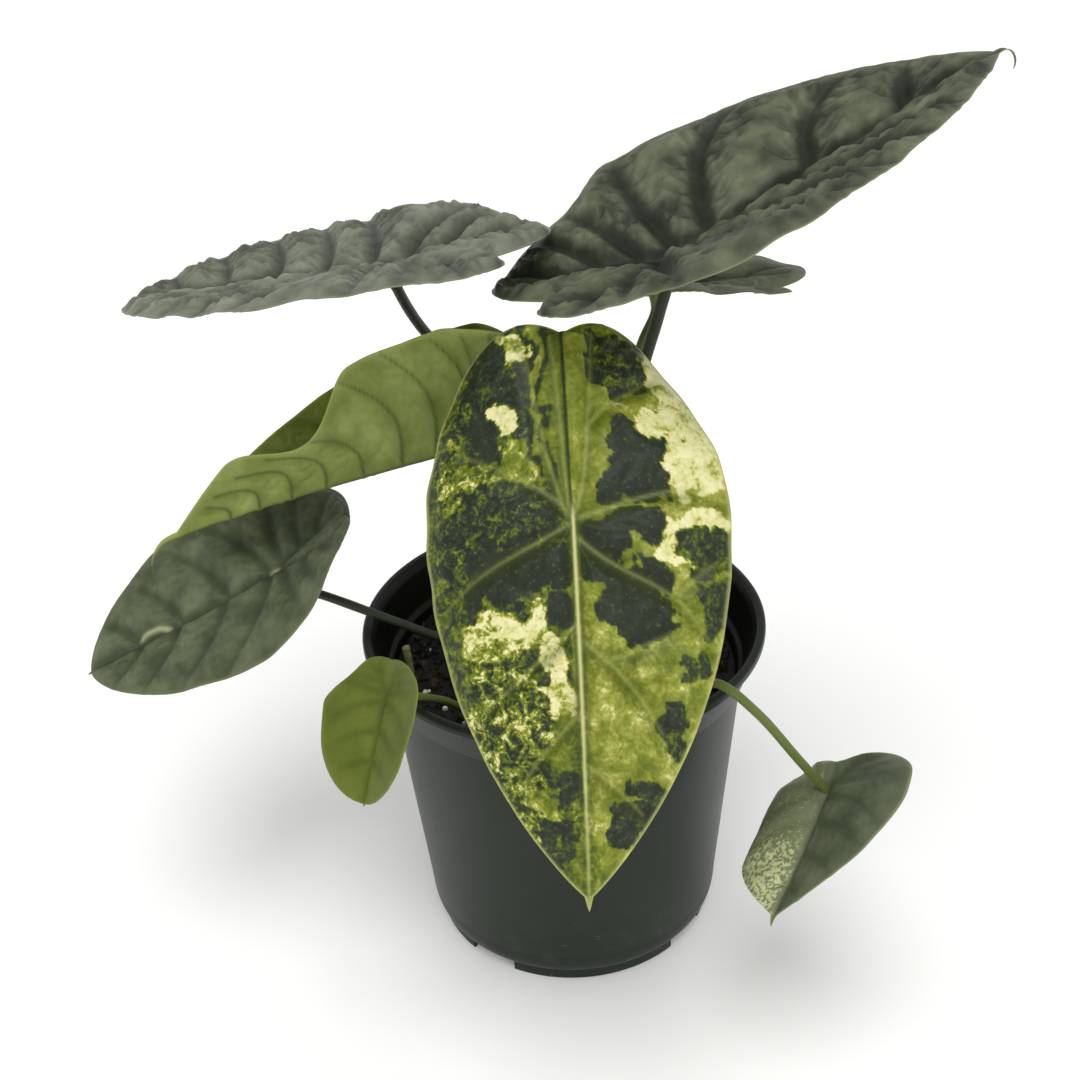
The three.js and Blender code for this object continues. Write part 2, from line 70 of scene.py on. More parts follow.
BLADES = {
    "upper_right": dict(
        length=140, lobe=53, width=119, lobe_width=0.41, taper=2.4, fullness=0.9,
        arch=-6.4, back=22, fold=(28.3, 6.4), back_fold=(3, 3.6), cup=(3, 1),
        at=(38.2, 5, 266.5), turn=(-13.2, 18.1, 22.3),
        quilt=4.8, wave=(0.5, 31), lean=0.3, laterals=((), (8, 27, 50, 76, 104)),
        tail=(12, 150), trims=((1, -12, 26, 0.16), (-1, -30, 26, 0.3)), looks="dark",
    ),
    "back": dict(
        length=54, lobe=52, width=59, lobe_width=0.42, taper=2.2, fullness=0.9,
        arch=-2.2, back=3, fold=(30, 24), back_fold=(24, 18), cup=(17, 18),
        at=(38.4, 40, 242.8), turn=(3.1, -3, 158.9),
        quilt=2, wave=(0.8, 21), lean=0.3, laterals=((5, 18, 32, 44), (5, 18, 32, 44)),
        # The pale skin is the grey-green one lightened: painted light where the upper right blade shades
        # this one.
        tail=(4, 30), trims=(), looks="pale",
    ),
    "upper_left": dict(
        length=112.5, lobe=50.3, width=109.5, lobe_width=0.39, taper=2.4, fullness=0.73,
        arch=-3.8, back=-8.8, fold=(12, 13.4), back_fold=(11.7, 3), cup=(3, 16),
        at=(-53.5, 20, 263.2), turn=(-0.2, -14.3, 158.1),
        quilt=4.8, wave=(0.6, 27), lean=0.24,
        laterals=((6, 24, 45, 68, 90), (8, 27, 48, 70, 90)),
        tail=(3, 30), trims=((-1, -30, 28, 0.14),), looks="grey",
    ),
    "lime": dict(
        length=126.3, lobe=34.3, width=90.8, lobe_width=0.39, taper=2.06, fullness=1.06,
        arch=5, back=12.3, fold=(40, 98), back_fold=(31, 60), cup=(25, 0.01),
        at=(-24.2, -1, 207.8), turn=(55.8, -17.7, 171.5),
        quilt=2, wave=(0.4, 24), lean=0.26,
        laterals=((), (6, 24, 43, 62, 80, 98)),
        tail=(17, 110), trims=((1, 64, 31, 0.48),), looks="lime",
    ),
    "lower_left": dict(
        length=79.6, lobe=35.9, width=90.2, lobe_width=0.16, taper=2.4, fullness=0.7,
        arch=-7.4, back=10, fold=(2.3, 25), back_fold=(18, 2.3), cup=(8, 7.6),
        at=(-106.1, 10, 151.1), turn=(-2.7, -27, -169.2),
        quilt=2.2, wave=(0.6, 33), lean=0.3, laterals=((2, 22, 42, 58), (2, 20, 40, 58)),
        tail=(1.5, 20), trims=((1, -10, 20, 0.1),), looks="deep",
    ),
    "small_left": dict(
        length=36, lobe=13, width=45.5, lobe_width=0.2, taper=2.6, fullness=0.52,
        arch=3, back=11, fold=(18.5, 19.5), back_fold=(19.7, 0.01), cup=(-2.4, 7),
        at=(-61.05, -62, 144.9), turn=(19.8, -48.6, -112.6),
        quilt=0.6, wave=(0.2, 17), lean=0.3, laterals=((2, 12, 22), (2, 12, 22)),
        tail=(0.8, 5), trims=((-1, -6, 12, 0.25),), looks="olive",
    ),
    "variegated": dict(
        length=116.5, lobe=66.3, width=98.5, lobe_width=0.29, taper=2.06, fullness=0.92,
        arch=11, back=-7.4, fold=(7.5, -10.5), back_fold=(-23, -21), cup=(12, 26.5),
        at=(3.3, -65, 211.7), turn=(-5.5, -49.8, -90),
        quilt=3.2, wave=(0.5, 22), lean=0.3, laterals=((), ()),
        tail=(3.5, 8), trims=(), looks="mottled",
    ),
    "lower_right": dict(
        length=52.7, lobe=13.6, width=78, lobe_width=0.34, taper=2.14, fullness=0.92,
        arch=-10.6, back=-2.3, fold=(28, 9.8), back_fold=(25, -10), cup=(12.9, 78),
        at=(89.7, -62, 94.5), turn=(18, -22.7, -119),
        quilt=1.2, wave=(0.4, 19), lean=0.3, laterals=((3, 14, 27, 39), (3, 14, 27, 39)),
        tail=(3.5, 40), trims=((-1, -8, 34, 0.42),), looks="half",
    ),
}

# Side veins that were drawn, in (s, t).
DRAWN_VEINS = {
    "upper_right": (
        ((6, 0), (6.5, 22), (9, 42), (14, 58)),
        ((19, 0), (26, 18), (33, 30), (41, 39), (52, 46), (64, 50)),
        ((60, 0), (66, 13), (75, 23), (86, 29), (99, 32)),
        ((100, 0), (107, 11), (114, 18), (121, 22)),
    ),
    "lime": (
        ((6, 0), (0, 13), (-2, 28), (3, 43)),
        ((19, 0), (13, 14), (13, 28), (21, 44)),
        ((32, 0), (27, 13), (29, 25), (41, 40)),
        ((47, 0), (45, 9), (51, 16), (66, 20)),
        ((62, 0), (59, 7), (63, 13), (78, 17)),
        ((76, 0), (73, 7), (76, 12), (92, 14)),
        ((89, 0), (87, 6), (91, 9), (103, 10)),
        ((101, 0), (100, 4), (108, 7)),
    ),
    "variegated": (
        ((0, 0), (-4, 14), (-8, 32), (-6, 43), (-3, 48)),
        ((5, 0), (14, 10), (25, 30), (33, 36), (40, 40)),
        ((25, 31), (20, 37), (16, 43)),
        ((37, 0), (44, 9), (57, 19), (67, 24)),
        ((44, 9), (40, 20), (37, 28)),
        ((75, 0), (80, 7), (86, 13), (91, 17)),
        ((0, 0), (-8, -6), (-17, -21), (-23, -33)),
        ((1, 0), (8, -14), (16, -31), (27, -43)),
        ((32, 0), (43, -12), (52, -22), (60, -32)),
        ((59, 0), (66, -7), (75, -15), (84, -20)),
        ((-2, 1), (-12, 4), (-30, 6), (-45, 8), (-62, 10)),
        ((-30, 6), (-37, 13), (-42, 22), (-46, 28)),
        ((-2, -1), (-20, -2), (-45, -2.5), (-60, -4)),
        ((-5, -3), (-20, -7), (-40, -10), (-60, -13)),
    ),
}

# The variegated blade, patch by patch: s from and to, t from and to, how pale it is (0 dark
# green, 1 cream) and how strongly it is speckled. Later patches lie over earlier ones.
PATCHES = (
    (-70, 120, -55, 0, 0.30, 0.45),
    (-70, 120, 0, 55, 0.62, 0.16),
    (-70, -4, 0, 9, 0.56, 0.12),
    (-58, -8, 27, 50, 0.88, 0.2),
    (-62, -42, 9, 27, 0.18, 0.45),
    (-28, -5, 9, 31, 0.06, 0.1),
    (0, 16, 28, 50, 0.9, 0.2),
    (8, 15, 13, 26, 0.66, 0.1),
    (-1, 8, 3, 27, 0.05, 0.08),
    (6, 22, 2, 14, 0.06, 0.08),
    (14, 24, 14, 31, 0.06, 0.08),
    (24, 39, 16, 26, 0.05, 0.1),
    (20, 30, 6, 17, 0.08, 0.1),
    (6, 18, 36, 50, 0.22, 0.4),
    (22, 35, 38, 50, 0.2, 0.35),
    (45, 52, 27, 34, 0.25, 0.35),
    (42, 50, 35, 42, 0.2, 0.3),
    (60, 73, 23, 34, 0.16, 0.35),
    (78, 87, 14, 24, 0.12, 0.3),
    (88, 102, 8, 23, 0.1, 0.35),
    (-66, -52, -21, -12, 0.75, 0.3),
    (-66, -20, -12, -9, 0.1, 0.1),
    (-66, -14, -9, -6, 0.6, 0.15),
    (-66, -8, -6, -4.4, 0.15, 0.1),
    (-66, -4, -4.4, -0.9, 0.5, 0.15),
    (-66, -1, -1, -0.2, 0.12, 0.05),
    (-62, -50, -32, -20, 0.08, 0.2),
    (-50, -30, -36, -10, 0.1, 0.35),
    (-35, -22, -31, -24, 0.06, 0.1),
    (-40, -28, -26, -18, 0.92, 0.2),
    (-25, -12, -22, -11, 0.62, 0.3),
    (-50, -20, -50, -35, 0.32, 0.55),
    (-22, -6, -46, -36, 0.5, 0.6),
    (-22, -9, -34, -24, 0.5, 0.55),
    (-10, 22, -42, -3, 0.14, 0.55),
    (15, 24, -31, -20, 0.42, 0.5),
    (8, 24, -26, -2, 0.04, 0.06),
    (15, 27, -36, -27, 0.05, 0.08),
    (25, 33, -8, -1.5, 0.05, 0.08),
    (28, 41, -36, -8, 0.72, 0.5),
    (30, 38, -23, -11, 0.95, 0.2),
    (38, 53, -11, -4, 0.9, 0.35),
    (50, 63, -15, -2, 0.82, 0.3),
    (44, 102, -36, -13, 0.42, 0.8),
    (62, 77, -11, -1, 0.45, 0.25),
    (78, 86, -7, -1, 0.12, 0.3),
    (83, 94, -16, -9, 0.66, 0.3),
    (91, 101, -15, -4, 0.1, 0.3),
)

# Pale marks: where the stalk joins, and a healed tear beside the midrib.
SCARS = {
    "lower_left": (((-0.8, 0), (0.8, 0)), ((46, -1), (49, -2.5), (54, -2.8), (57, -2.2))),
    "variegated": (((-0.4, 0.3), (0.6, -0.3)),),
}

GRID_STEP = {
    "variegated": 0.62, "small_left": 0.8, "lime": 0.8, "upper_right": 0.95, "upper_left": 0.9,
}
USUAL_GRID_STEP = 1.15
BLADE_THICKNESS = 0.6
PIERCE = 0.2
TAIL_HALF_WIDTH = 1.6        # where the drip tip begins, on a long one
MARGIN_LINE = 0.9            # how wide the pale line along the margin is
VEIN_LINE = 0.6              # the same of the veins, and of the midrib
MIDRIB_LINE = 0.48
MIDRIB_SHADOW = (1.3, 0.7)     # how far from the midrib the painted shadow line beside it lies, and how wide that is
VEIN_SHADE = (2.6, 1.9)      # the same for the shade on a vein's side towards the tip
RIB_HALF_WIDTH = 1.4         # the ridge of the midrib under the blade
RIB_DEPTH = 1.2
VEIN_DEPTH = 0.35
FLAT_MARGIN = 9              # the puffs sink over this distance to the margin
UV_LENGTH = 100              # one unit of a UV map


def noise(x, y, seed, octaves=3):
    """Smooth random values from -1 to 1 over a plane, one unit between their lattice points."""
    total = np.zeros(np.broadcast(x, y).shape)
    weight, reach = 1.0, 0.0
    for octave in range(octaves):
        lattice = np.random.default_rng(seed + 31 * octave).uniform(-1, 1, (64, 64))
        u, v = np.asarray(x) * 2**octave, np.asarray(y) * 2**octave
        i, j = np.floor(u).astype(int), np.floor(v).astype(int)
        a, b = u - i, v - j
        a, b = a * a * (3 - 2 * a), b * b * (3 - 2 * b)
        low = lattice[i % 64, j % 64] * (1 - a) + lattice[(i + 1) % 64, j % 64] * a
        high = lattice[i % 64, (j + 1) % 64] * (1 - a) + lattice[(i + 1) % 64, (j + 1) % 64] * a
        total += weight * (low * (1 - b) + high * b)
        reach += weight
        weight *= 0.5
    return total / reach


def smoothstep(low, high, x):
    u = np.clip((x - low) / (high - low), 0, 1)
    return u * u * (3 - 2 * u)


# ---- a blade's outline and surface -----------------------------------------------------------


def margin_reach(blade, s, side):
    """How far out the margin is at each s, and how far out the notch is, on one side."""
    half = blade["width"] / 2
    front = np.clip(s / blade["length"], 0, 1)
    rear = np.sqrt(np.clip(1 - (s / blade["lobe"]) ** 2, 0, 1))
    lobe_width = blade["lobe_width"]
    outer = np.where(
        s >= 0,
        half * (1 - front ** blade["taper"]) ** blade["fullness"],
        half * (lobe_width + (1 - lobe_width) * rear),
    )
    inner = np.where(s >= 0, 0, half * np.clip(lobe_width - (1 - lobe_width) * rear, 0, 1))
    tail = blade["tail"][0]
    past = np.clip((s - blade["length"]) / tail, -0.6, 1)
    widest = min(TAIL_HALF_WIDTH, 0.3 * tail)
    tail_half = np.where(past > -0.6, widest * np.clip(1 - past, 0, 1.2) ** 0.8, 0)
    outer = np.where(s > blade["length"] * 0.8, np.maximum(outer, tail_half), outer)
    for trim_side, centre, reach, depth in blade["trims"]:
        if trim_side == side:
            near = np.clip(1 - ((s - centre) / reach) ** 2, 0, 1) ** 2
            outer = inner + (outer - inner) * (1 - depth * near)
    return inner, outer


def blade_rows(blade, step):
    """The s of each row of the grid: close together at the ends, with one at the notch."""
    length, lobe, tail = blade["length"], blade["lobe"], blade["tail"][0]
    notch = math.acos(-blade["lobe_width"] / (1 - blade["lobe_width"]))
    front = np.linspace(0, 1, max(8, round(length / step)))
    rear = np.linspace(1, 0, max(8, round(1.2 * lobe / step)))
    rows = [
        -lobe * np.sin(rear * math.pi / 2),
        [-lobe * math.sin(notch)],
        length * (0.6 * front + 0.4 * np.sin(front * math.pi / 2)),
        length + tail * np.linspace(0, 1, 9),
    ]
    return np.unique(np.round(np.concatenate(rows), 3))


def blade_grid(blade, step):
    """The flat blade: its (s, t) points and its faces, counter-clockwise from above."""
    rows = blade_rows(blade, step)
    columns = max(10, round(blade["width"] / 2 / step))
    share = np.linspace(0, 1, columns + 1) ** 1.2
    points, faces = [], []
    for side in (1, -1):
        inner, outer = margin_reach(blade, rows, side)
        t = side * (inner[:, None] + (outer - inner)[:, None] * share)
        s = np.repeat(rows[:, None], columns + 1, axis=1)
        start = sum(len(part) for part in points)
        points.append(np.stack([s.ravel(), t.ravel()], axis=1))
        row, column = np.meshgrid(np.arange(len(rows) - 1), np.arange(columns), indexing="ij")
        a = start + (row * (columns + 1) + column).ravel()
        b, c, d = a + columns + 1, a + columns + 2, a + 1
        faces.append(np.stack([a, b, c, d] if side > 0 else [a, d, c, b], axis=1))
    flat, index = np.unique(np.round(np.concatenate(points), 3), axis=0, return_inverse=True)
    merged = index.ravel()[np.concatenate(faces)]
    kept = []
    for face in merged.tolist():
        corners = [v for i, v in enumerate(face) if v != face[i - 1]]
        if len(set(corners)) >= 3:
            kept.append(corners)
    return flat, kept


def blade_surface(blade, s, t, height):
    """Points of the blade in its own frame, at a height over its middle surface."""
    length, lobe = blade["length"], blade["lobe"]
    bend = np.where(s >= 0, math.radians(blade["arch"]) / length, -math.radians(blade["back"]) / lobe)
    along = np.minimum(s, length)
    turn = bend * along
    left = t >= 0
    towards_lobe = smoothstep(0, 1, -s / lobe)
    fold = np.radians(
        np.where(left, blade["fold"][0], blade["fold"][1]) * (1 - towards_lobe)
        + np.where(left, blade["back_fold"][0], blade["back_fold"][1]) * towards_lobe
    )
    roll = np.radians(np.where(left, blade["cup"][0], blade["cup"][1])) / (blade["width"] / 2)
    reach = np.abs(t)
    slope = fold - roll * reach
    across = (np.sin(fold) - np.sin(slope)) / roll
    lift = (np.cos(slope) - np.cos(fold)) / roll
    facing = slope * (1 - np.exp(-(reach / 2.5) ** 2))
    across = np.sign(t) * (across - height * np.sin(facing))
    lift = lift + height * np.cos(facing)
    tail, tail_bend = blade["tail"]
    past = np.clip(s - length, 0, tail)
    curl = math.radians(tail_bend + 0.01) / tail
    forward = np.sin(curl * past) / curl
    down = (1 - np.cos(curl * past)) / curl
    x = np.sin(turn) / bend + np.sin(turn) * (lift - down) + np.cos(turn) * forward
    z = -(1 - np.cos(turn)) / bend + np.cos(turn) * (lift - down) - np.sin(turn) * forward
    return np.stack([x, across, z], axis=1)


def blade_matrix(blade):
    roll, pitch, yaw = (math.radians(angle) for angle in blade["turn"])
    rotation = (
        Matrix.Rotation(yaw, 4, "Z") @ Matrix.Rotation(-pitch, 4, "Y") @ Matrix.Rotation(roll, 4, "X")
    )
    return Matrix.Translation(blade["at"]) @ rotation


# ---- veins -----------------------------------------------------------------------------------


def side_vein(blade, side, start):
    """A vein that leaves the midrib almost square to it and swings towards the tip."""
    end = start + blade["lean"] * blade["length"] * math.sqrt(1 - start / blade["length"])
    end = min(end, 0.97 * blade["length"])
    reach = 0.96 * float(margin_reach(blade, np.array([end]), side)[1][0])
    u = np.linspace(0, 1, 7)
    return np.stack([start + (end - start) * u**1.7, side * reach * u], axis=1)


def lobe_veins(blade, side):
    """The rib into a back lobe and its branches to the outer margin."""
    half = blade["width"] / 2
    u = np.linspace(0, 1, 7)
    rib = np.stack([-0.88 * blade["lobe"] * u, side * half * blade["lobe_width"] * u**0.75], axis=1)
    veins = [rib]
    for share, swing in ((0.12, 0.06), (0.4, 0.02), (0.68, -0.06)):
        start = -0.88 * blade["lobe"] * share
        foot = side * half * blade["lobe_width"] * share**0.75
        end = start - (0.22 - swing) * blade["lobe"]
        end = max(end, -0.95 * blade["lobe"])
        reach = 0.95 * float(margin_reach(blade, np.array([end]), side)[1][0])
        v = np.linspace(0, 1, 5)
        veins.append(np.stack([start + (end - start) * v**1.4, foot + (side * reach - foot) * v], axis=1))
    return veins


def branches(vein, spacing, length):
    """Short side branches on both sides of a vein, leaning towards its end."""
    found = []
    steps = np.diff(vein, axis=0)
    lengths = np.hypot(steps[:, 0], steps[:, 1])
    walked = np.concatenate([[0], np.cumsum(lengths)])
    for k, at in enumerate(np.arange(spacing, walked[-1] - 2, spacing)):
        i = int(np.searchsorted(walked, at)) - 1
        foot = vein[i] + steps[i] * (at - walked[i]) / lengths[i]
        ahead = steps[i] / lengths[i]
        for hand in (1, -1):
            outward = np.array([-ahead[1], ahead[0]]) * hand
            reach = length * (0.8 + 0.2 * math.sin(3.1 * k + hand))
            middle = foot + (0.35 * ahead + outward) * reach * 0.45
            found.append(np.array([foot, middle, foot + (0.75 * ahead + outward) * reach * 0.85]))
    return found


def softened(line):
    """A line through the same ends with its corners cut off."""
    for _ in range(2):
        ahead, behind = line[:-1] * 0.75 + line[1:] * 0.25, line[:-1] * 0.25 + line[1:] * 0.75
        inner = np.stack([ahead, behind], axis=1).reshape(-1, 2)
        line = np.concatenate([line[:1], inner[1:-1], line[-1:]])
    return line


def blade_veins(name, blade):
    """All veins as (points, strength, how much weaker they get, how wide the hollow is)."""
    length = blade["length"]
    hollow = 0.022 * length + 0.8
    veins = [(np.array([(0, 0), (length, 0)], float), 1.0, 0.45, hollow)]
    sides = []
    for side, starts in zip((1, -1), blade["laterals"]):
        sides += [side_vein(blade, side, start) for start in starts]
        if name != "variegated":
            sides += lobe_veins(blade, side)
    sides += [softened(np.array(vein, float)) for vein in DRAWN_VEINS.get(name, ())]
    veins += [(vein, 0.95, 0.4, hollow) for vein in sides]
    for vein in sides:
        twigs = branches(vein, 0.045 * length, 0.11 * length)
        depth = 0.2 if name == "variegated" else 0.55
        veins += [(twig, depth, 0.6, 0.4 * hollow) for twig in twigs]
    return veins


def vein_field(points, veins, width=None):
    """At each point, how strongly it is on a vein, or in its hollow where no width is given."""
    field = np.zeros(len(points))
    for vein, strength, fade, hollow in veins:
        segments = len(vein) - 1
        for i in range(segments):
            a, b = vein[i], vein[i + 1]
            line = b - a
            u = np.clip((points - a) @ line / (line @ line + 1e-9), 0, 1)
            distance = np.hypot(*(points - a - u[:, None] * line).T)
            level = strength * (1 - fade * (i + u) / segments)
            field = np.maximum(field, level * np.exp(-(distance / (width or hollow)) ** 2))
    return field


def variegation(s, t):
    """How pale the variegated blade is at each point, and how strongly it is speckled."""
    off_midrib = smoothstep(0, 12, np.abs(t))
    drift_s, drift_t = noise(s / 8, t / 8, 3, 5), noise(s / 8, t / 8, 4, 5)
    s, t = s + 9 * drift_s * (0.3 + 0.7 * off_midrib), t + 9 * drift_t * off_midrib
    pale, speckle = np.full(len(s), 0.5), np.full(len(s), 0.3)
    for low_s, high_s, low_t, high_t, level, amount in PATCHES:
        half_s, half_t = (high_s - low_s) / 2, (high_t - low_t) / 2
        off_s, off_t = np.abs(s - low_s - half_s) / half_s, np.abs(t - low_t - half_t) / half_t
        from_middle = (off_s**2.8 + off_t**2.8) ** (1 / 2.8)
        cover = smoothstep(0.35, -0.35, (from_middle - 1.09) * min(half_s, half_t))
        pale += (level - pale) * cover
        speckle += (amount - speckle) * cover
    return pale, speckle


# ---- meshes ----------------------------------------------------------------------------------


def add_mesh(name, points, faces, materials, matrix=None, face_materials=None, sharp=None):
    """An object from points in millimetres."""
    mesh = bpy.data.meshes.new(name)
    mesh.from_pydata([tuple(p) for p in np.asarray(points)], [], faces)
    mesh.transform(Matrix.Scale(MM, 4) @ (matrix or Matrix()))
    for material in materials:
        mesh.materials.append(material)
    if face_materials is not None:
        mesh.polygons.foreach_set("material_index", face_materials)
    mesh.polygons.foreach_set("use_smooth", [True] * len(mesh.polygons))
    obj = bpy.data.objects.new(name, mesh)
    bpy.context.scene.collection.objects.link(obj)
    if sharp is not None:
        mark_sharp(mesh, sharp)
    mesh.validate()
    mesh.update()
    return obj


def mark_sharp(mesh, degrees):
    """Edges that turn by more than an angle are shaded as edges."""
    shape = bmesh.new()
    shape.from_mesh(mesh)
    for edge in shape.edges:
        edge.smooth = len(edge.link_faces) != 2 or edge.calc_face_angle(0) < math.radians(degrees)
    shape.to_mesh(mesh)
    shape.free()


def set_attribute(mesh, name, values):
    layer = mesh.attributes.new(name, "FLOAT", "POINT")
    layer.data.foreach_set("value", np.asarray(values, np.float32))


def set_uv(mesh, u, v):
    """A UV map from one pair of values for each vertex."""
    loops = np.zeros(len(mesh.loops), np.int32)
    mesh.loops.foreach_get("vertex_index", loops)
    layer = mesh.uv_layers.new(name="UVMap")
    layer.data.foreach_set("uv", np.stack([u[loops], v[loops]], axis=1).astype(np.float32).ravel())


def srgb(code):
    """A linear colour from a six-digit code."""
    values = [int(code[i:i + 2], 16) / 255 for i in (0, 2, 4)]
    linear = [v / 12.92 if v <= 0.04045 else ((v + 0.055) / 1.055) ** 2.4 for v in values]
    return (*linear, 1)


# ---- materials -------------------------------------------------------------------------------


class Look:
    """A material, with short ways to add nodes to it."""

    def __init__(self, name, **sockets):
        self.material = bpy.data.materials.new(name)
        self.material.use_nodes = True
        self.tree = self.material.node_tree
        self.shader = self.tree.nodes["Principled BSDF"]
        for socket, value in sockets.items():
            self.shader.inputs[socket.replace("_", " ")].default_value = value

    def add(self, kind, **settings):
        node = self.tree.nodes.new("ShaderNode" + kind)
        for key, value in settings.items():
            setattr(node, key, value)
        return node

    def feed(self, socket, value):
        """Gives a socket another socket's value, a number, or the colour of a six-digit code."""
        if isinstance(value, bpy.types.NodeSocket):
            self.tree.links.new(value, socket)
        else:
            socket.default_value = srgb(value) if isinstance(value, str) else value

    def set(self, socket, value):
        self.feed(self.shader.inputs[socket], value)

    def attribute(self, name):
        return self.add("Attribute", attribute_name=name).outputs["Fac"]

    def place(self, kind="UV", scale=(1, 1, 1)):
        mapping = self.add("Mapping")
        self.feed(mapping.inputs["Vector"], self.add("TexCoord").outputs[kind])
        mapping.inputs["Scale"].default_value = scale
        return mapping.outputs["Vector"]

    def height(self):
        """How high a point stands, in metres."""
        split = self.add("SeparateXYZ")
        self.feed(split.inputs[0], self.add("TexCoord").outputs["Object"])
        return split.outputs["Z"]

    def noise(self, vector, scale, detail=3.0, roughness=0.55, distortion=0.0):
        node = self.add("TexNoise")
        self.feed(node.inputs["Vector"], vector)
        node.inputs["Scale"].default_value = scale
        node.inputs["Detail"].default_value = detail
        node.inputs["Roughness"].default_value = roughness
        node.inputs["Distortion"].default_value = distortion
        return node.outputs["Fac"]

    def math(self, operation, a, b=0.0, clamp=False):
        node = self.add("Math", operation=operation, use_clamp=clamp)
        self.feed(node.inputs[0], a)
        self.feed(node.inputs[1], b)
        return node.outputs[0]

    def blend(self, share, a, b):
        """A mix of two colours."""
        node = self.add("Mix", data_type="RGBA")
        self.feed(node.inputs[0], share)
        self.feed(node.inputs[6], a)
        self.feed(node.inputs[7], b)
        return node.outputs[2]

    def tint(self, skin, mask, share, code):
        """A skin with a share of another colour where a mask, or an attribute of that name, is."""
        if isinstance(mask, str):
            mask = self.attribute(mask)
        return self.blend(self.math("MULTIPLY", mask, share), skin, code)

    def ramp(self, share, *stops):
        """A colour ramp through (position, six-digit code) stops."""
        node = self.add("ValToRGB")
        points = node.color_ramp.elements
        while len(points) < len(stops):
            points.new(0.5)
        for point, (position, code) in zip(points, stops):
            point.position = position
            point.color = srgb(code)
        self.feed(node.inputs["Fac"], share)
        return node.outputs["Color"]

    def span(self, value, low, high):
        """A value rescaled from a range to 0 to 1."""
        node = self.add("MapRange")
        self.feed(node.inputs["Value"], value)
        node.inputs["From Min"].default_value = low
        node.inputs["From Max"].default_value = high
        return node.outputs["Result"]

    def bump(self, height, depth, strength=0.6):
        node = self.add("Bump")
        self.feed(node.inputs["Height"], height)
        node.inputs["Distance"].default_value = depth * MM
        node.inputs["Strength"].default_value = strength
        self.set("Normal", node.outputs["Normal"])


def leaf_texture(look, fine=42, depth=0.3):
    """The fine puckers of a leaf's skin, as bump and as roughness."""
    place = look.place()
    grain = look.noise(place, fine, 5, 0.6)
    look.bump(grain, depth)
    look.set("Roughness", look.math("ADD", look.math("MULTIPLY", grain, 0.2), look.base_roughness))
    return place


def leaf_skin(name, dark, middle, light, vein, margin, roughness=0.33, vein_share=0.8, spread=0.7):
    """A blade's skin: painted shade in its hollows and painted highlight on its puffs, with veins and a
    margin.
    """
    look = Look(name, Specular_IOR_Level=0.22)
    look.base_roughness = roughness
    place = leaf_texture(look)
    clouds = look.span(look.noise(place, 9, 4), 0.3, 0.7)
    relief_shade_and_mottle = look.attribute("relief_shade_and_mottle")
    # tone mixes random mottling with the painted shade and highlight of the relief; spread is the painted
    # part's share.
    tone = look.math("ADD", look.math("MULTIPLY", clouds, 1 - spread), look.math("MULTIPLY", relief_shade_and_mottle, spread))
    skin = look.ramp(tone, (0.1, dark), (0.5, middle), (0.95, light))
    skin = look.tint(skin, "vein", vein_share, vein)
    skin = look.tint(skin, "margin", 0.6, margin)
    skin = look.tint(skin, "scar", 1, "a9ae84")
    look.set("Base Color", skin)
    return look


def variegated_skin(name):
    """Dark green, mid green, lime and cream in crisp jagged patches, as the blade's tone says."""
    look = Look(name, Specular_IOR_Level=0.2)
    look.base_roughness = 0.34
    place = leaf_texture(look)
    grains = look.math(
        "ADD", look.math("MULTIPLY", look.noise(place, 24, 3, 0.6, 0.8), 0.65),
        look.math("MULTIPLY", look.noise(place, 80, 3, 0.6), 0.35),
    )
    grains = look.math("SUBTRACT", grains, 0.5)
    swing = look.math("MULTIPLY", grains, look.math("MULTIPLY", look.attribute("speckle"), 5.5))
    pale = look.attribute("pale")
    clouds = look.math("SUBTRACT", look.noise(place, 9, 4, 0.6, 0.4), 0.5)
    drift = look.math("MULTIPLY", clouds, look.math("MULTIPLY", pale, 1.3))
    tone = look.math("ADD", look.math("ADD", pale, swing), drift)
    skin = look.ramp(
        tone,
        (0.0, "20271a"), (0.2, "2f3728"), (0.25, "36431a"), (0.38, "4e5c1a"),
        (0.5, "646f18"), (0.62, "7b832b"), (0.74, "9da04a"), (0.8, "c6c47e"),
        (1.0, "dedaa6"),
    )
    dust = look.span(look.noise(place, 60, 4, 0.6), 0.58, 0.68)
    skin = look.tint(skin, dust, 0.3, "6c7637")
    # Painted shade in the blade's hollows.
    hollow = look.span(look.attribute("relief_shade_and_mottle"), 0.5, 0.0)
    skin = look.tint(skin, hollow, 0.35, "3f4b18")
    # Painted shade beside the veins, on their side towards the tip.
    skin = look.tint(skin, "vein_side_shade", 0.5, "36420f")
    skin = look.tint(skin, "vein", 0.42, "959c4c")
    # Painted shadow lines beside the midrib.
    skin = look.tint(skin, "midrib_shadow_line", 0.55, "39431a")
    skin = look.tint(skin, "midrib", 0.95, "c4c68a")
    skin = look.tint(skin, "margin", 0.75, "b0b46c")
    look.set("Base Color", skin)
    return look


def half_skin(name):
    """Grey-green, with one half paler and flecked with cream towards the tip."""
    look = leaf_skin(name, "3a4130", "4d5540", "69705a", "5a6248", "8b9168")
    place = look.place()
    base = look.shader.inputs["Base Color"].links[0].from_socket
    pale = look.attribute("pale")
    skin = look.tint(base, look.span(pale, 0, 0.5), 0.75, "7f8763")
    flecks = look.math("ADD", look.noise(place, 60, 4, 0.65, 0.5), look.math("MULTIPLY", pale, 0.22))
    skin = look.blend(look.math("MULTIPLY", look.span(flecks, 0.66, 0.74), pale), skin, "c4c795")
    look.set("Base Color", skin)
    return look


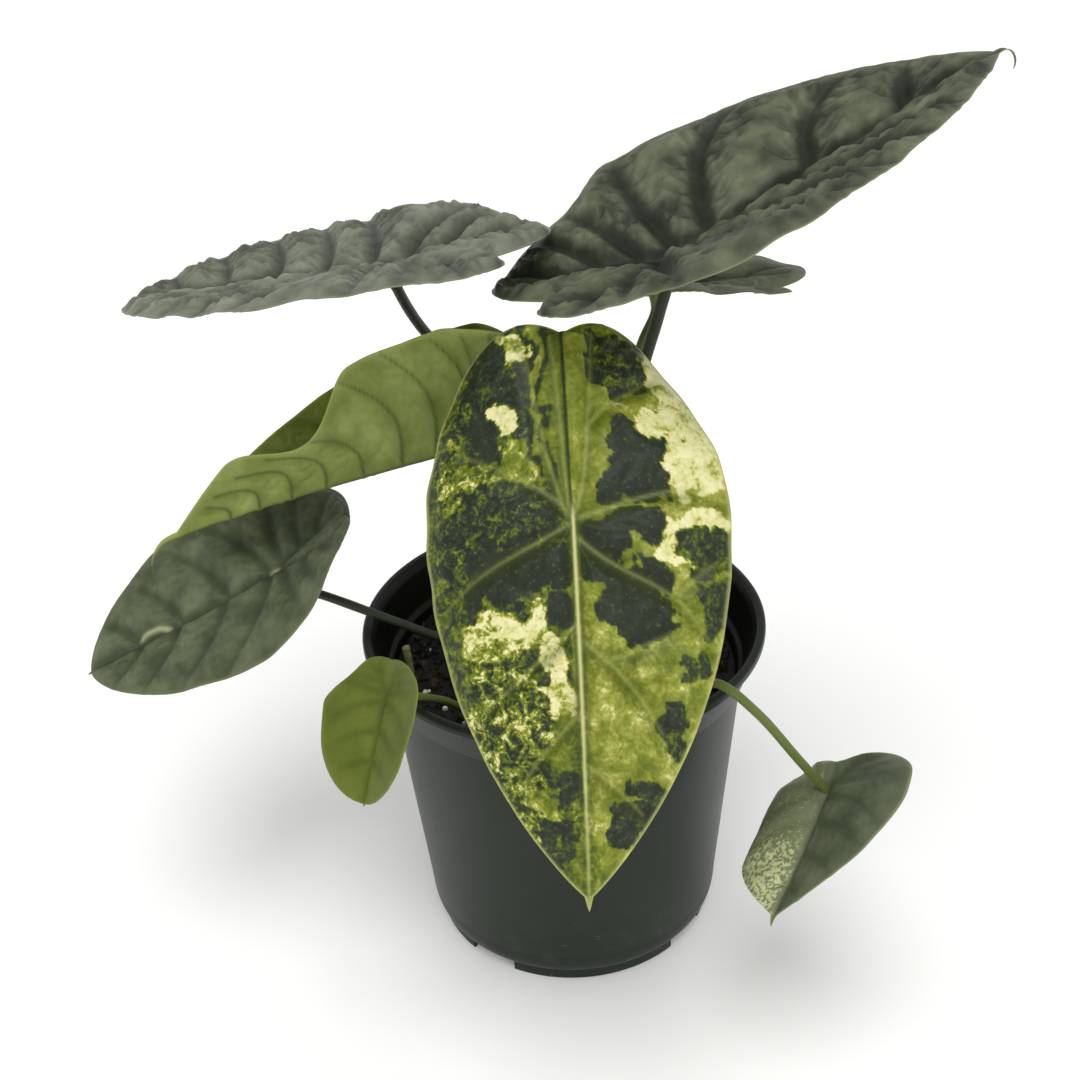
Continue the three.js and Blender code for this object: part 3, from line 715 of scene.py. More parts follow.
def stalk_skin(name, low, high, fleck):
    look = Look(name, IOR=1.45)
    place = look.place(scale=(1, 4, 1))
    streaks = look.noise(look.place(scale=(3, 60, 1)), 6, 4)
    flecks = look.noise(look.place(scale=(40, 12, 1)), 3, 3, 0.6)
    skin = look.blend(look.noise(place, 5, 2), low, high)
    skin = look.blend(look.span(flecks, 0.6, 0.72), skin, fleck)
    look.set("Base Color", skin)
    look.set("Roughness", look.span(streaks, -1.2, 2.2))
    look.bump(streaks, 0.25)
    return look


def pot_plastic():
    look = Look("pot_plastic", Specular_IOR_Level=0.16)
    place = look.place("Object")
    clouds = look.noise(place, 24, 4)
    skin = look.blend(clouds, "1d241d", "282f27")
    scratches = look.noise(look.place("Object", (1, 1, 6)), 160, 3, 0.7)
    low = look.span(look.height(), 0.045, 0.008)
    dust = look.math("MULTIPLY", look.span(look.noise(place, 90, 5, 0.7), 0.5, 0.8), low)
    marks = look.math("MULTIPLY", look.span(scratches, 0.7, 0.74), look.math("MULTIPLY", low, 0.8))
    skin = look.tint(skin, dust, 0.35, "4c5048")
    skin = look.blend(marks, skin, "70746b")
    # Painted shade on the pot's inner wall.
    skin = look.tint(skin, "inside", 0.85, "0a0c08")
    look.set("Base Color", skin)
    look.set("Roughness", look.math("ADD", look.math("MULTIPLY", clouds, 0.14), 0.3))
    look.bump(look.noise(place, 900, 3), 0.05)
    return look


def soil_look():
    look = Look("potting_mix", IOR=1.4)
    place = look.place("Object")
    crumbs = look.noise(place, 260, 6, 0.7)
    skin = look.blend(look.attribute("shade"), "070706", "1c1813")
    skin = look.blend(look.span(crumbs, 0.55, 0.85), skin, "2a241b")
    look.set("Base Color", skin)
    look.set("Roughness", look.span(crumbs, -0.9, 1.1))
    look.bump(crumbs, 1.2)
    return look


def perlite_look():
    look = Look("perlite", IOR=1.4)
    place = look.place("Object")
    skin = look.blend(look.noise(place, 500, 4), "b8b4a6", "efece2")
    look.set("Base Color", skin)
    look.set("Roughness", look.span(look.noise(place, 900, 3), -1.2, 1.0))
    look.bump(look.noise(place, 900, 4), 0.4)
    return look


def bark_look(name, dark, light, scale=120):
    look = Look(name, IOR=1.4)
    place = look.place("Object", (1, 1, 2.5))
    rough = look.noise(place, scale, 5, 0.65)
    look.set("Base Color", look.ramp(rough, (0.3, dark), (0.7, light)))
    look.set("Roughness", look.span(rough, -1.4, 1.2))
    look.bump(rough, 0.8)
    return look


# ---- blades ----------------------------------------------------------------------------------


def margin_distance(blade, s, t):
    """How far each point is from the margin, measured across the blade."""
    distance = np.zeros(len(s))
    for side in (1, -1):
        here = (t >= 0) if side > 0 else (t < 0)
        inner, outer = margin_reach(blade, s, side)
        from_notch = np.where(inner > 0, np.abs(t) - inner, 99)
        distance = np.where(here, np.minimum(outer - np.abs(t), from_notch), distance)
    return np.clip(distance, 0, None)


def blade_relief(name, blade, s, t, hollows, to_margin):
    """Height over the smooth blade: puffs between the veins, fine creases and a rippled margin."""
    half = blade["width"] / 2
    seed = sum(map(ord, name))
    amount, wave_length = blade["wave"]
    puffs = (1 - hollows) ** 1.2
    creases = noise(s / 5, t / 9, seed, 3) * (1 - hollows)
    swell = noise(s / 26, t / 26, seed + 5, 2)
    side = np.where(t >= 0, 1, -1)
    ripple = np.sin(2 * math.pi * s / wave_length + side * 1.2 + 1.5 * noise(s / 30, t * 0, seed + 9, 1))
    outwards = (np.abs(t) / half) ** 2
    quilt = blade["quilt"]
    inside = 0.15 + 0.85 * smoothstep(0, FLAT_MARGIN, to_margin)
    pucker = puffs + 0.22 * creases + 0.25 * swell * (1 - hollows)
    return quilt * pucker * inside + amount * ripple * outwards


def build_blade(name, blade, materials):
    """One blade: an upper and a lower surface joined at the margin, with what its skin shows."""
    flat, faces = blade_grid(blade, GRID_STEP.get(name, USUAL_GRID_STEP))
    s, t = flat.T
    veins = blade_veins(name, blade)
    main_veins = [vein for vein in veins if vein[3] > 0.5 * veins[0][3]]
    lines = vein_field(flat, main_veins, VEIN_LINE)
    length = blade["length"]
    on_front = smoothstep(1.3 * length, 0.3 * length, s) * smoothstep(-6, 0, s)
    midrib = np.exp(-(t / MIDRIB_LINE) ** 2) * on_front
    # A painted shadow line on each side of the midrib.
    midrib_shadow_line = np.exp(-((np.abs(t) - MIDRIB_SHADOW[0]) / MIDRIB_SHADOW[1]) ** 2) * on_front
    hollows = vein_field(flat, veins)
    # Painted shade on each main vein's side towards the tip, as if the light fell from one side.
    towards_tip = flat - (VEIN_SHADE[0], 0)
    vein_side_shade = np.clip(vein_field(towards_tip, main_veins, VEIN_SHADE[1]) - lines, 0, 1)
    to_margin = margin_distance(blade, s, t)
    height = blade_relief(name, blade, s, t, hollows, to_margin)
    rib = np.exp(-(t / RIB_HALF_WIDTH) ** 2) * smoothstep(-12, 0, s) * smoothstep(length, 0, s)
    keel = RIB_DEPTH * rib + VEIN_DEPTH * lines
    thickness = BLADE_THICKNESS * (0.55 + 0.45 * smoothstep(0, 3, to_margin))
    upper = blade_surface(blade, s, t, height + thickness / 2)
    lower = blade_surface(blade, s, t, height - thickness / 2 - keel)
    count = len(flat)
    edges = {(a, b) for face in faces for a, b in zip(face, face[1:] + face[:1])}
    rim = [(a, b) for a, b in edges if (b, a) not in edges]
    under = [[v + count for v in reversed(face)] for face in faces]
    strips = [[b, a, a + count, b + count] for a, b in sorted(rim)]
    obj = add_mesh(
        "blade_" + name, np.concatenate([upper, lower]), faces + under + strips, materials,
        blade_matrix(blade), [0] * len(faces) + [1] * (len(under) + len(strips)),
    )
    # Painted shade in the hollows and along the veins and painted highlight on the puffs between them, mixed
    # with random mottling; the skins turn it into colour.
    shaded = (hollows * (0.35 + 0.65 * smoothstep(0, 10, to_margin))) ** 1.4
    relief_shade_and_mottle = np.clip((1 - shaded) * 0.8 + 0.35 * noise(s / 9, t / 9, 12, 3), 0, 1)
    pale, speckle, scars = np.zeros(count), np.zeros(count), np.zeros(count)
    if name in SCARS:
        scars = vein_field(flat, [(np.array(scar, float), 1, 0.3, 1) for scar in SCARS[name]])
    if blade["looks"] == "mottled":
        pale, speckle = variegation(s, t)
    if blade["looks"] == "half":
        pale = smoothstep(2, -4, t) * (0.35 + 0.65 * smoothstep(12, 34, s))
    for key, values in {
        "vein": lines, "midrib": midrib, "midrib_shadow_line": midrib_shadow_line, "vein_side_shade": vein_side_shade,
        "relief_shade_and_mottle": relief_shade_and_mottle, "margin": np.exp(-(to_margin / MARGIN_LINE) ** 2),
        "pale": pale, "speckle": speckle, "scar": scars,
    }.items():
        set_attribute(obj.data, key, np.tile(values, 2))
    set_uv(obj.data, np.tile(s, 2) / UV_LENGTH, np.tile(t, 2) / UV_LENGTH)
    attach(obj, "root")
    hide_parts("leaf_" + name)


# ---- stalks ----------------------------------------------------------------------------------


def around(degrees, radius, z):
    angle = math.radians(degrees)
    return Vector((radius * math.cos(angle), radius * math.sin(angle), z))


def above(x, y, height):
    return Vector((x, y, SOIL_LEVEL + height))


def over_rim(degrees, lift):
    return around(degrees, RIM_RADIUS, POT_HEIGHT + lift)


def towards(crossing, share, height):
    return above(crossing.x * share, crossing.y * share, height)


def near_rim(crossing, share, lift):
    return Vector((crossing.x * share, crossing.y * share, POT_HEIGHT + lift))


def beyond(crossing, *step):
    return crossing + Vector(step)


LEFT_RIM = over_rim(178, 5)
SMALL_RIM = over_rim(224, 5.5)
RIGHT_RIM = over_rim(-46, 5)

# In order around the crown: the way, its radius, where it starts on the crown and its neck.
STALKS = {
    "upper_right": ([above(12, 5, 40), above(22, 6, 80), above(31.6, 6, 119), above(36.5, 3.5, 138)],
                    2.5, 6, 14, 4),
    "back": ([above(9, 11, 42), above(20, 21, 83), above(33.2, 31, 116)], 2.2, 6, 14, 7),
    "upper_left": ([above(-5, 23, 38), above(-13, 42, 68), above(-27, 48, 95), above(-45, 40, 120)],
                   2.3, 6, 14, 3),
    "lime": ([above(-13, 4, 38), above(-20, 1, 66)], 2.5, 6, 14, 7),
    "lower_left": ([towards(LEFT_RIM, 0.34, 7), towards(LEFT_RIM, 0.6, 11.5),
                    near_rim(LEFT_RIM, 0.8, -1.5), beyond(LEFT_RIM, -14, 3, 6)], 2, 5, 2, 7),
    "small_left": ([towards(SMALL_RIM, 0.35, 4), towards(SMALL_RIM, 0.63, 4.5),
                    near_rim(SMALL_RIM, 0.82, -4), SMALL_RIM], 1.6, 5, 0, 3),
    "variegated": ([above(1, -15, 40), above(2, -32, 72), above(3, -51, 91)], 2.8, 6, 14, 7),
    "lower_right": ([towards(RIGHT_RIM, 0.5, 9), near_rim(RIGHT_RIM, 0.84, -0.5), RIGHT_RIM,
                     beyond(RIGHT_RIM, 11.5, -7, -7.5), beyond(RIGHT_RIM, 26.8, -8, -28.5)],
                    1.9, 5, 2, 4),
}
FIRST_STALK_ANGLE = 12


def smooth_curve(points, count):
    """Evenly spaced points on the centripetal Catmull-Rom curve through a few points."""
    knots = np.array([tuple(p) for p in points], float)
    knots = np.concatenate([[2 * knots[0] - knots[1]], knots, [2 * knots[-1] - knots[-2]]])
    found = []
    for i in range(1, len(knots) - 2):
        p0, p1, p2, p3 = knots[i - 1:i + 3]
        d0, d1, d2 = (math.sqrt(np.linalg.norm(b - a)) for a, b in ((p0, p1), (p1, p2), (p2, p3)))
        start = ((p1 - p0) / d0 - (p2 - p0) / (d0 + d1) + (p2 - p1) / d1) * d1
        end = ((p2 - p1) / d1 - (p3 - p1) / (d1 + d2) + (p3 - p2) / d2) * d1
        u = np.linspace(0, 1, 40, endpoint=False)[:, None]
        bow = 2 * u**3 - 3 * u**2
        found.append((bow + 1) * p1 + (u**3 - 2 * u**2 + u) * start - bow * p2 + (u**3 - u**2) * end)
    line = np.concatenate(found + [knots[-2:-1]])
    walked = np.concatenate([[0], np.cumsum(np.linalg.norm(np.diff(line, axis=0), axis=1))])
    even = np.linspace(0, walked[-1], count)
    return np.stack([np.interp(even, walked, line[:, k]) for k in range(3)], axis=1)


def tube(name, line, radii, material, sides=20, groove=None):
    """A closed tube along a line. groove gives how deep a furrow runs along it at each point."""
    count = len(line)
    ahead = np.gradient(line, axis=0)
    ahead /= np.linalg.norm(ahead, axis=1)[:, None]
    outward = np.cross(ahead[0], (0.0, 1.0, 0.1))
    points = []
    for i in range(count):
        outward = outward - ahead[i] * (outward @ ahead[i])
        outward /= np.linalg.norm(outward)
        across = np.cross(ahead[i], outward)
        angle = 2 * math.pi * np.arange(sides) / sides
        depth = 0 if groove is None else groove[i]
        radius = radii[i] * (1 - depth * np.exp(-((angle - math.pi) / 0.5) ** 2))
        ring = line[i] + radius[:, None] * (
            np.cos(angle)[:, None] * outward + np.sin(angle)[:, None] * across
        )
        points.append(ring)
    faces = [
        [i * sides + k, i * sides + (k + 1) % sides, (i + 1) * sides + (k + 1) % sides, (i + 1) * sides + k]
        for i in range(count - 1) for k in range(sides)
    ]
    faces += [list(range(sides))[::-1], [(count - 1) * sides + k for k in range(sides)]]
    obj = add_mesh(name, np.concatenate(points), faces, [material], sharp=60)
    walked = np.concatenate([[0], np.cumsum(np.linalg.norm(np.diff(line, axis=0), axis=1))])
    set_uv(obj.data, np.repeat(walked, sides) / UV_LENGTH, np.tile(np.arange(sides) / sides, count))
    return obj


def build_stalk(name, angle, material):
    """A stalk from its place round the crown to its blade, with a grooved sheath at its foot."""
    way, radius, drop, rise, neck = STALKS[name]
    matrix = blade_matrix(BLADES[name])
    root = around(angle, CROWN_RADIUS * 0.5, CROWN_TOP - drop - 4)
    shoulder = around(angle, CROWN_RADIUS * 0.95, root.z + rise + 4)
    route = [root, shoulder, *way, matrix @ Vector((0, 0, -neck)), matrix @ Vector((0, 0, PIERCE))]
    line = smooth_curve(route, 90)
    u = np.linspace(0, 1, len(line))
    sheath = 1 - smoothstep(0.03, 0.34, u)
    radii = radius * (0.86 + 0.42 * sheath + 0.22 * smoothstep(0.95, 1, u))
    radii *= 1 + 0.03 * noise(u * 14, u * 0, sum(map(ord, name)), 2)
    obj = tube("petiole_" + name, line, radii, material, groove=0.05 + 0.3 * sheath)
    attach(obj, "root")
    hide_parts("stalk_" + name)


DARK_STALKS = ("upper_right", "upper_left", "lower_left")


# ---- crown, roots and the old stalk ----------------------------------------------------------


def lathe(profile, segments):
    """Points and faces of a closed body of revolution; the profile starts and ends on the axis."""
    angle = 2 * math.pi * np.arange(segments) / segments
    points = [(0, 0, profile[0][1])]
    for radius, z in profile[1:-1]:
        points += [(radius * math.cos(a), radius * math.sin(a), z) for a in angle]
    points.append((0, 0, profile[-1][1]))
    last = len(points) - 1
    rings = len(profile) - 2
    faces = []
    for k in range(segments):
        after = (k + 1) % segments
        faces.append([0, 1 + after, 1 + k])
        for ring in range(rings - 1):
            a, b = 1 + ring * segments, 1 + (ring + 1) * segments
            faces.append([a + k, a + after, b + after, b + k])
        top = 1 + (rings - 1) * segments
        faces.append([top + k, top + after, last])
    return np.array(points), faces


def build_crown(material):
    """The stem base, ringed by the scars of old leaves."""
    height = CROWN_TOP - CROWN_BOTTOM
    shape = ((0.04, 0.55), (0.16, 0.9), (0.36, 1), (0.58, 0.93), (0.78, 0.76), (0.93, 0.5), (1, 0))
    levels = np.linspace(0, 1, 70)
    radii = CROWN_RADIUS * np.interp(levels, [0, *(a for a, _ in shape)], [0, *(b for _, b in shape)])
    radii *= 1 - 0.06 * np.abs(np.sin(levels * 34)) ** 6
    points, faces = lathe(list(zip(radii, CROWN_BOTTOM + height * levels)), 72)
    lumps = 1 + 0.05 * noise(np.arctan2(points[:, 1], points[:, 0]) * 3, points[:, 2] / 4, 21)
    points[:, :2] *= lumps[:, None]
    obj = add_mesh("crown_stem", points, faces, [material])
    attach(obj, "root")
    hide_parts("crown")


def build_stub(material):
    """What is left of an old stalk: a withered tube with a split, ragged end."""
    low, high = (Vector(corner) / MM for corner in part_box("old_stalk_stub"))
    middle = (low + high) / 2
    radius = (high.x - low.x) / 2
    line = smooth_curve(
        [Vector((middle.x, middle.y, low.z)), Vector((middle.x + 0.4, middle.y, middle.z)),
         Vector((middle.x - 0.3, middle.y - 0.3, high.z))], 30)
    u = np.linspace(0, 1, 30)
    obj = tube("withered_stub", line, radius * (0.86 + 0.1 * np.sin(u * 9) - 0.16 * u), material, 28,
               groove=0.15 + 0.45 * u)
    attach(obj, "root")
    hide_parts("old_stalk_stub")


# ---- potting mix -----------------------------------------------------------------------------


def soil_height(x, y):
    lumps = 1.5 * noise(x / 9, y / 9, 41, 3) + 0.7 * noise(x / 2.6, y / 2.6, 43, 2)
    return SOIL_LEVEL - 1.4 + lumps


def build_soil(material):
    """The block of mix: a lumpy top, then straight sides down to the pot's floor."""
    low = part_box("soil")[0][2] / MM + 6
    rings = [(SOIL_RADIUS - 0.3) * r for r in np.linspace(1, 0, 75)[:-1]]
    profile = [(0, low), (SOIL_RADIUS - 12, low), (SOIL_RADIUS - 1.2, SOIL_LEVEL - 12)]
    profile += [(r, SOIL_LEVEL) for r in rings] + [(0, SOIL_LEVEL)]
    points, faces = lathe(profile, 220)
    top = points[:, 2] > SOIL_LEVEL - 1
    points[top, 2] = soil_height(points[top, 0], points[top, 1])
    obj = add_mesh("potting_mix", points, faces, [material])
    set_attribute(obj.data, "shade", 0.25 + 0.25 * noise(points[:, 0] / 3, points[:, 1] / 3, 47))
    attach(obj, "root")
    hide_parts("soil")


def crumb(rng, centre, size, stretch):
    """One rough lump: a squashed, dented ball."""
    shape = bmesh.new()
    bmesh.ops.create_icosphere(shape, subdivisions=2, radius=1)
    points = np.array([tuple(v.co) for v in shape.verts])
    faces = [[v.index for v in face.verts] for face in shape.faces]
    shape.free()
    dents = rng.uniform(-1, 1, (5, 3))
    for dent in dents:
        dent /= np.linalg.norm(dent)
        cut = points @ dent - rng.uniform(0.45, 0.8)
        points -= np.clip(cut, 0, None)[:, None] * dent
    turn = np.array(Euler(rng.uniform(0, 6.28, 3)).to_matrix())
    return (points * size * stretch) @ turn.T + centre, faces


def build_crumbs(name, count, sizes, stretch, material, seed, places=()):
    """Many lumps as one mesh, strewn over the soil between the crown and the pot."""
    rng = np.random.default_rng(seed)
    points, faces, shades = [], [], []
    total = 0
    for k in range(count):
        size = rng.uniform(*sizes) * rng.uniform(0.6, 1)
        radius = math.sqrt(rng.uniform((CROWN_RADIUS + 1) ** 2, (SOIL_RADIUS - 2.5) ** 2))
        angle = rng.uniform(0, 2 * math.pi)
        x, y = radius * math.cos(angle), radius * math.sin(angle)
        if k < len(places):
            x, y = places[k]
            size = sizes[1] * 0.8
        centre = np.array([x, y, float(soil_height(np.array([x]), np.array([y]))[0]) + 0.25 * size])
        lump, lump_faces = crumb(rng, centre, size, np.array(stretch) ** rng.uniform(0, 1))
        points.append(lump)
        faces += [[v + total for v in face] for face in lump_faces]
        shades += [rng.uniform(0, 1)] * len(lump)
        total += len(lump)
    obj = add_mesh(name, np.concatenate(points), faces, [material], sharp=40)
    set_attribute(obj.data, "shade", shades)
    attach(obj, "root")


# ---- pot -------------------------------------------------------------------------------------

LIP_WIDTH = 3
LIP_HEIGHT = 3.5
BAND_HEIGHT = 18
BAND_STEP = 2
BAND_FLARE = 3
FOOT_RADIUS = 55
FOOT_HEIGHT = 5
FOOT_WIDTH = 4
FOOT_INSET = 3
FOOT_LEDGE = 1
CORNER_HEIGHT = 9
EDGE = 1.5
WALL = 1.8
DISC_RADIUS = 18
NOTCH_WIDTH = 20
NOTCH_DEPTH = 12
NOTCH_ANGLES = (-128, -38, 52, 142)
DRAIN_RADIUS = 4.5
DRAIN_CIRCLE = 41
DRAIN_COUNT = 8

BAND_TOP_RADIUS = RIM_RADIUS - LIP_WIDTH
BAND_BOTTOM_RADIUS = BAND_TOP_RADIUS - BAND_FLARE
BODY_TOP_RADIUS = BAND_BOTTOM_RADIUS - BAND_STEP
BODY_TOP = POT_HEIGHT - BAND_HEIGHT
BODY_BOTTOM = FOOT_HEIGHT + CORNER_HEIGHT
BODY_BOTTOM_RADIUS = FOOT_RADIUS + FOOT_INSET
FLOOR_TOP = FOOT_HEIGHT + WALL


def corner_arc(steps):
    """The quarter turn that brings the body in to the foot."""
    found = []
    for i in range(steps + 1):
        angle = math.pi / 2 * i / steps
        found.append((
            FOOT_RADIUS + FOOT_LEDGE + (FOOT_INSET - FOOT_LEDGE) * math.sin(angle),
            BODY_BOTTOM - (CORNER_HEIGHT - FOOT_LEDGE) * math.cos(angle), 0.3,
        ))
    return found


def pot_profile():
    """The section as (radius, z, how far its corner is rounded)."""
    lip_underside = POT_HEIGHT - LIP_HEIGHT
    return [
        (0, 0, 0), (DISC_RADIUS, 0, 0.5), (DISC_RADIUS + EDGE, FOOT_HEIGHT, 0.5),
        (FOOT_RADIUS - FOOT_WIDTH, FOOT_HEIGHT, 0.5), (FOOT_RADIUS - FOOT_WIDTH, 0, 0.5),
        (FOOT_RADIUS, 0, 0.8), (FOOT_RADIUS, FOOT_HEIGHT, 0.3), *corner_arc(8),
        (BODY_TOP_RADIUS, BODY_TOP, 0.6), (BAND_BOTTOM_RADIUS, BODY_TOP + EDGE, 0.8),
        (BAND_TOP_RADIUS, lip_underside - EDGE, 0.6), (RIM_RADIUS, lip_underside, 1),
        (RIM_RADIUS, POT_HEIGHT, 1.3), (BAND_TOP_RADIUS, POT_HEIGHT, 1),
        (BAND_TOP_RADIUS - WALL, lip_underside, 0.6), (BAND_BOTTOM_RADIUS - WALL, BODY_TOP + EDGE, 0.6),
        (BODY_TOP_RADIUS - WALL, BODY_TOP, 0.6), (BODY_BOTTOM_RADIUS - WALL, BODY_BOTTOM, 2),
        (BODY_BOTTOM_RADIUS - WALL - FOOT_INSET, FLOOR_TOP, 1), (DISC_RADIUS, FLOOR_TOP, 0.4),
        (DISC_RADIUS - EDGE, WALL, 0.4), (0, WALL, 0),
    ]


def rounded(profile, steps=5):
    """The profile with each corner replaced by a short curve."""
    found = []
    last = len(profile) - 1
    for i, (radius, z, reach) in enumerate(profile):
        corner = np.array([radius, z], float)
        if i in (0, last):
            found.append(tuple(corner))
            continue
        before = np.array(profile[i - 1][:2]) - corner
        after = np.array(profile[i + 1][:2]) - corner
        start = corner + before / np.linalg.norm(before) * min(reach, 0.4 * np.linalg.norm(before))
        end = corner + after / np.linalg.norm(after) * min(reach, 0.4 * np.linalg.norm(after))
        for u in np.linspace(0, 1, steps):
            found.append(tuple((1 - u) ** 2 * start + 2 * u * (1 - u) * corner + u**2 * end))
    return found


def cutter(points, faces, matrix):
    obj = add_mesh("cutter", points, faces, [], matrix)
    obj.hide_render = True
    return obj


def block(width, depth, height):
    corners = [(x, y, z) for x in (-depth / 2, depth / 2) for y in (-width / 2, width / 2)
               for z in (-height, height)]
    faces = [[0, 1, 3, 2], [4, 6, 7, 5], [0, 4, 5, 1], [2, 3, 7, 6], [0, 2, 6, 4], [1, 5, 7, 3]]
    return corners, faces


def inner_wall_shade(mesh):
    """Marks where the pot's surface faces its own axis, for the painted shade on the inside."""
    points, normals = np.zeros(3 * len(mesh.vertices)), np.zeros(3 * len(mesh.vertices))
    mesh.vertices.foreach_get("co", points)
    mesh.vertices.foreach_get("normal", normals)
    points, normals = points.reshape(-1, 3), normals.reshape(-1, 3)
    out = points[:, :2] / (np.linalg.norm(points[:, :2], axis=1) + 1e-9)[:, None]
    facing = (out * normals[:, :2]).sum(axis=1)
    set_attribute(mesh, "inside", smoothstep(0.2, -0.6, facing) * (points[:, 2] > FLOOR_TOP * MM))


def build_pot(material):
    points, faces = lathe(rounded(pot_profile()), 240)
    obj = add_mesh("pot_shell", points, faces, [material])
    cutters = []
    for angle in NOTCH_ANGLES:
        turn = Matrix.Rotation(math.radians(angle), 4, "Z") @ Matrix.Translation((FOOT_RADIUS, 0, 0))
        cutters.append(cutter(*block(NOTCH_WIDTH, NOTCH_DEPTH, FOOT_HEIGHT - 0.2), turn))
    for i in range(DRAIN_COUNT):
        centre = around(NOTCH_ANGLES[0] + 360 * i / DRAIN_COUNT, DRAIN_CIRCLE, 0)
        drain = lathe([(0, -2), (DRAIN_RADIUS, -2), (DRAIN_RADIUS, 2 * FLOOR_TOP), (0, 2 * FLOOR_TOP)], 32)
        cutters.append(cutter(*drain, Matrix.Translation(centre)))
    for tool in cutters:
        modifier = obj.modifiers.new("cut", "BOOLEAN")
        modifier.object = tool
        modifier.operation = "DIFFERENCE"
    shape = bpy.data.meshes.new_from_object(obj.evaluated_get(bpy.context.evaluated_depsgraph_get()))
    obj.modifiers.clear()
    obj.data = shape
    for tool in cutters:
        bpy.data.objects.remove(tool)
    mark_sharp(shape, 32)
    inner_wall_shade(obj.data)
    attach(obj, "root")
    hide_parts("pot")


# ---- the plant in its pot --------------------------------------------------------------------

dark_under = leaf_skin("leaf_dark_under", "4c5438", "616a48", "757d5b", "7f8765", "7a8160", 0.42, 0.5)
grey_skin = leaf_skin("leaf_grey_green", "252920", "52574a", "858a78", "2a2e24", "888c78", 0.38)
SKINS = {
    "dark": (leaf_skin("leaf_dark", "11140d", "32372a", "6c7259", "171b12", "7d8264", 0.4), dark_under),
    "grey": (grey_skin, dark_under),
    # A lighter copy of the grey-green skin for the back blade: painted light where the upper right blade
    # shades it.
    "pale": (
        leaf_skin("leaf_grey_lightened_for_shade", "474c3e", "7a806e", "a6ab96", "474d3e", "989d86", 0.42),
        dark_under,
    ),
    "lime": (
        leaf_skin("leaf_lime", "434f16", "5f6d20", "838f3c", "56641f", "98a24c", 0.36),
        leaf_skin("leaf_lime_under", "5f6c30", "74813d", "8f9a58", "3f4b1a", "9aa35c", 0.44, 1.1, 0.5),
    ),
    "deep": (
        leaf_skin("leaf_deep", "2b3221", "454e36", "666e51", "353d2a", "6b7150", 0.42, 0.4, 0.55),
        dark_under,
    ),
    "olive": (
        leaf_skin("leaf_olive", "414c14", "4f5b18", "616c26", "56631f", "727c38", 0.36, 0.2),
        leaf_skin("leaf_olive_under", "5c682f", "6b763a", "7b8547", "6b763a", "7d8742", 0.44, 0.3),
    ),
    "mottled": (
        variegated_skin("leaf_mottled"),
        leaf_skin("leaf_mottled_under", "4d5a2d", "7c8748", "a4ab66", "8f9850", "b0b573", 0.44, 0.5),
    ),
    "half": (half_skin("leaf_half_grey"), dark_under),
}
for blade_name, blade_shape in BLADES.items():
    build_blade(blade_name, blade_shape, [look.material for look in SKINS[blade_shape["looks"]]])

dark_stalk = stalk_skin("stalk_dark", "1c2214", "333c22", "3f472b").material
green_stalk = stalk_skin("stalk_green", "4d5c26", "72833b", "8e9a58").material
widths = [way[1] for way in STALKS.values()]
stalk_angle = FIRST_STALK_ANGLE
for index, stalk_name in enumerate(STALKS):
    build_stalk(stalk_name, stalk_angle, dark_stalk if stalk_name in DARK_STALKS else green_stalk)
    next_width = widths[(index + 1) % len(widths)]
    stalk_angle += 360 * (widths[index] + next_width) / (2 * sum(widths))

build_crown(bark_look("crown_skin", "2b2a17", "5d6036").material)
build_stub(bark_look("old_stalk", "5e6238", "a5a274", 200).material)
root_material = bark_look("root_skin", "8f7a58", "c9b68d").material
for node_name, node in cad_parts.items():
    if node_name.startswith("root_"):
        node.data.materials.clear()
        node.data.materials.append(root_material)

soil_material = soil_look().material
build_soil(soil_material)
build_crumbs("soil_crumbs", 1500, (0.6, 2.2), (1.3, 1, 0.8), soil_material, 5)
build_crumbs("bark_chips", 90, (1.8, 4.2), (1.8, 1, 0.4), bark_look("bark", "1f150d", "4d3723").material, 6)
build_crumbs("soil_fibres", 120, (0.25, 0.5), (26, 1, 1), bark_look("fibre", "2a1f14", "6b5337").material, 7)
PERLITE_PLACES = ((-52.7, -14.7), (-44.9, -26.3), (-37.5, -35.2), (56.8, -17.6))
build_crumbs("perlite", 34, (0.6, 1.4), (1.2, 1, 0.9), perlite_look().material, 8, PERLITE_PLACES)
build_pot(pot_plastic().material)

# ---- floor, light and camera -----------------------------------------------------------------

FLOOR_SIZE = 60000
FLOOR_GLOW = 0.12            # keeps the shadows on the floor faint
CAMERA_AIM = (-7.2, 0, 165.7)
CAMERA_DISTANCE = 543
CAMERA_RISE = 31
CAMERA_ROLL = -2.85
CAMERA_LENS = 50
HORIZON = (0.1, 0.34)        # how high the light stays full, and where it has faded, as sines
ZENITH_LIGHT = 0.56


def build_floor():
    """A wide pale floor that the pot stands on."""
    look = Look("floor_paint", IOR=1.3)
    place = look.place("Object")
    shade = look.blend(look.noise(place, 2.5, 3), "f7f7f5", "f2f2f0")
    look.set("Base Color", shade)
    look.set("Emission Color", shade)
    look.shader.inputs["Emission Strength"].default_value = FLOOR_GLOW
    look.set("Roughness", look.span(look.noise(place, 30, 2), -3, 1.4))
    half = FLOOR_SIZE / 2
    corners = [(-half, -half, -0.2), (half, -half, -0.2), (half, half, -0.2), (-half, half, -0.2)]
    floor = add_mesh("floor", corners, [[0, 1, 2, 3]], [look.material])


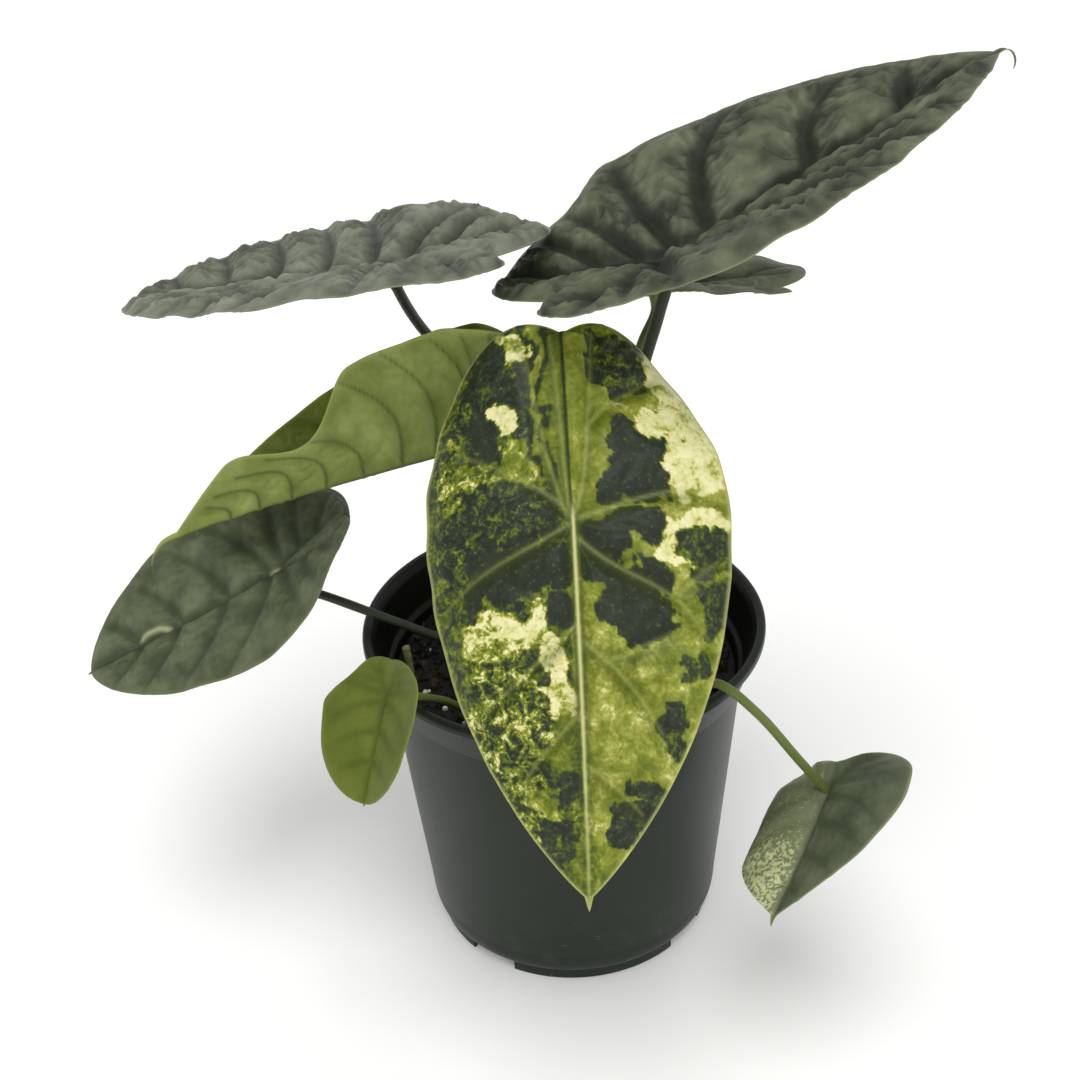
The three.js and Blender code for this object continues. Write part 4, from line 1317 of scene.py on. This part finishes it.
def soft_light(name, place, power, spread):
    """A broad light from the direction of a place, the same all over the floor."""
    light = bpy.data.lights.new(name, "SUN")
    light.angle = math.radians(spread)
    light.energy = power
    obj = bpy.data.objects.new(name, light)
    obj.location = Vector(place) * MM
    obj.rotation_euler = Vector(place).to_track_quat("Z", "Y").to_euler()
    bpy.context.scene.collection.objects.link(obj)


def build_world():
    """Pale light from all around, brightest at the horizon so that it meets the floor."""
    world = bpy.data.worlds.new("studio")
    world.use_nodes = True
    nodes, links = world.node_tree.nodes, world.node_tree.links
    split, span = nodes.new("ShaderNodeSeparateXYZ"), nodes.new("ShaderNodeMapRange")
    links.new(nodes.new("ShaderNodeTexCoord").outputs["Generated"], split.inputs[0])
    links.new(split.outputs["Z"], span.inputs["Value"])
    span.inputs["From Min"].default_value = HORIZON[0]
    span.inputs["From Max"].default_value = HORIZON[1]
    span.inputs["To Min"].default_value = 1
    span.inputs["To Max"].default_value = ZENITH_LIGHT
    links.new(span.outputs["Result"], nodes["Background"].inputs["Strength"])
    nodes["Background"].inputs["Color"].default_value = (1, 1, 1, 1)
    bpy.context.scene.world = world


def build_camera():
    """A camera in front of the plant, raised, and turned a little about its own axis."""
    rise, roll = math.radians(CAMERA_RISE), math.radians(CAMERA_ROLL)
    back = Vector((0, -math.cos(rise), math.sin(rise)))
    right = Vector((1, 0, 0))
    up = back.cross(right)
    across = right * math.cos(roll) + up * math.sin(roll)
    upward = up * math.cos(roll) - right * math.sin(roll)
    camera = bpy.data.objects.new("camera", bpy.data.cameras.new("camera"))
    camera.data.lens = CAMERA_LENS
    camera.data.sensor_width = 36
    camera.data.clip_end = 20
    place = (Vector(CAMERA_AIM) + back * CAMERA_DISTANCE) * MM
    camera.matrix_world = Matrix.Translation(place) @ Matrix((across, upward, back)).transposed().to_4x4()
    bpy.context.scene.collection.objects.link(camera)
    bpy.context.scene.camera = camera


build_floor()
soft_light("key", place=(-60, -280, 1000), power=1.5, spread=36)
soft_light("fill", place=(250, -1000, 500), power=0.6, spread=70)
build_world()
bpy.context.scene.view_settings.view_transform = "Standard"
build_camera()
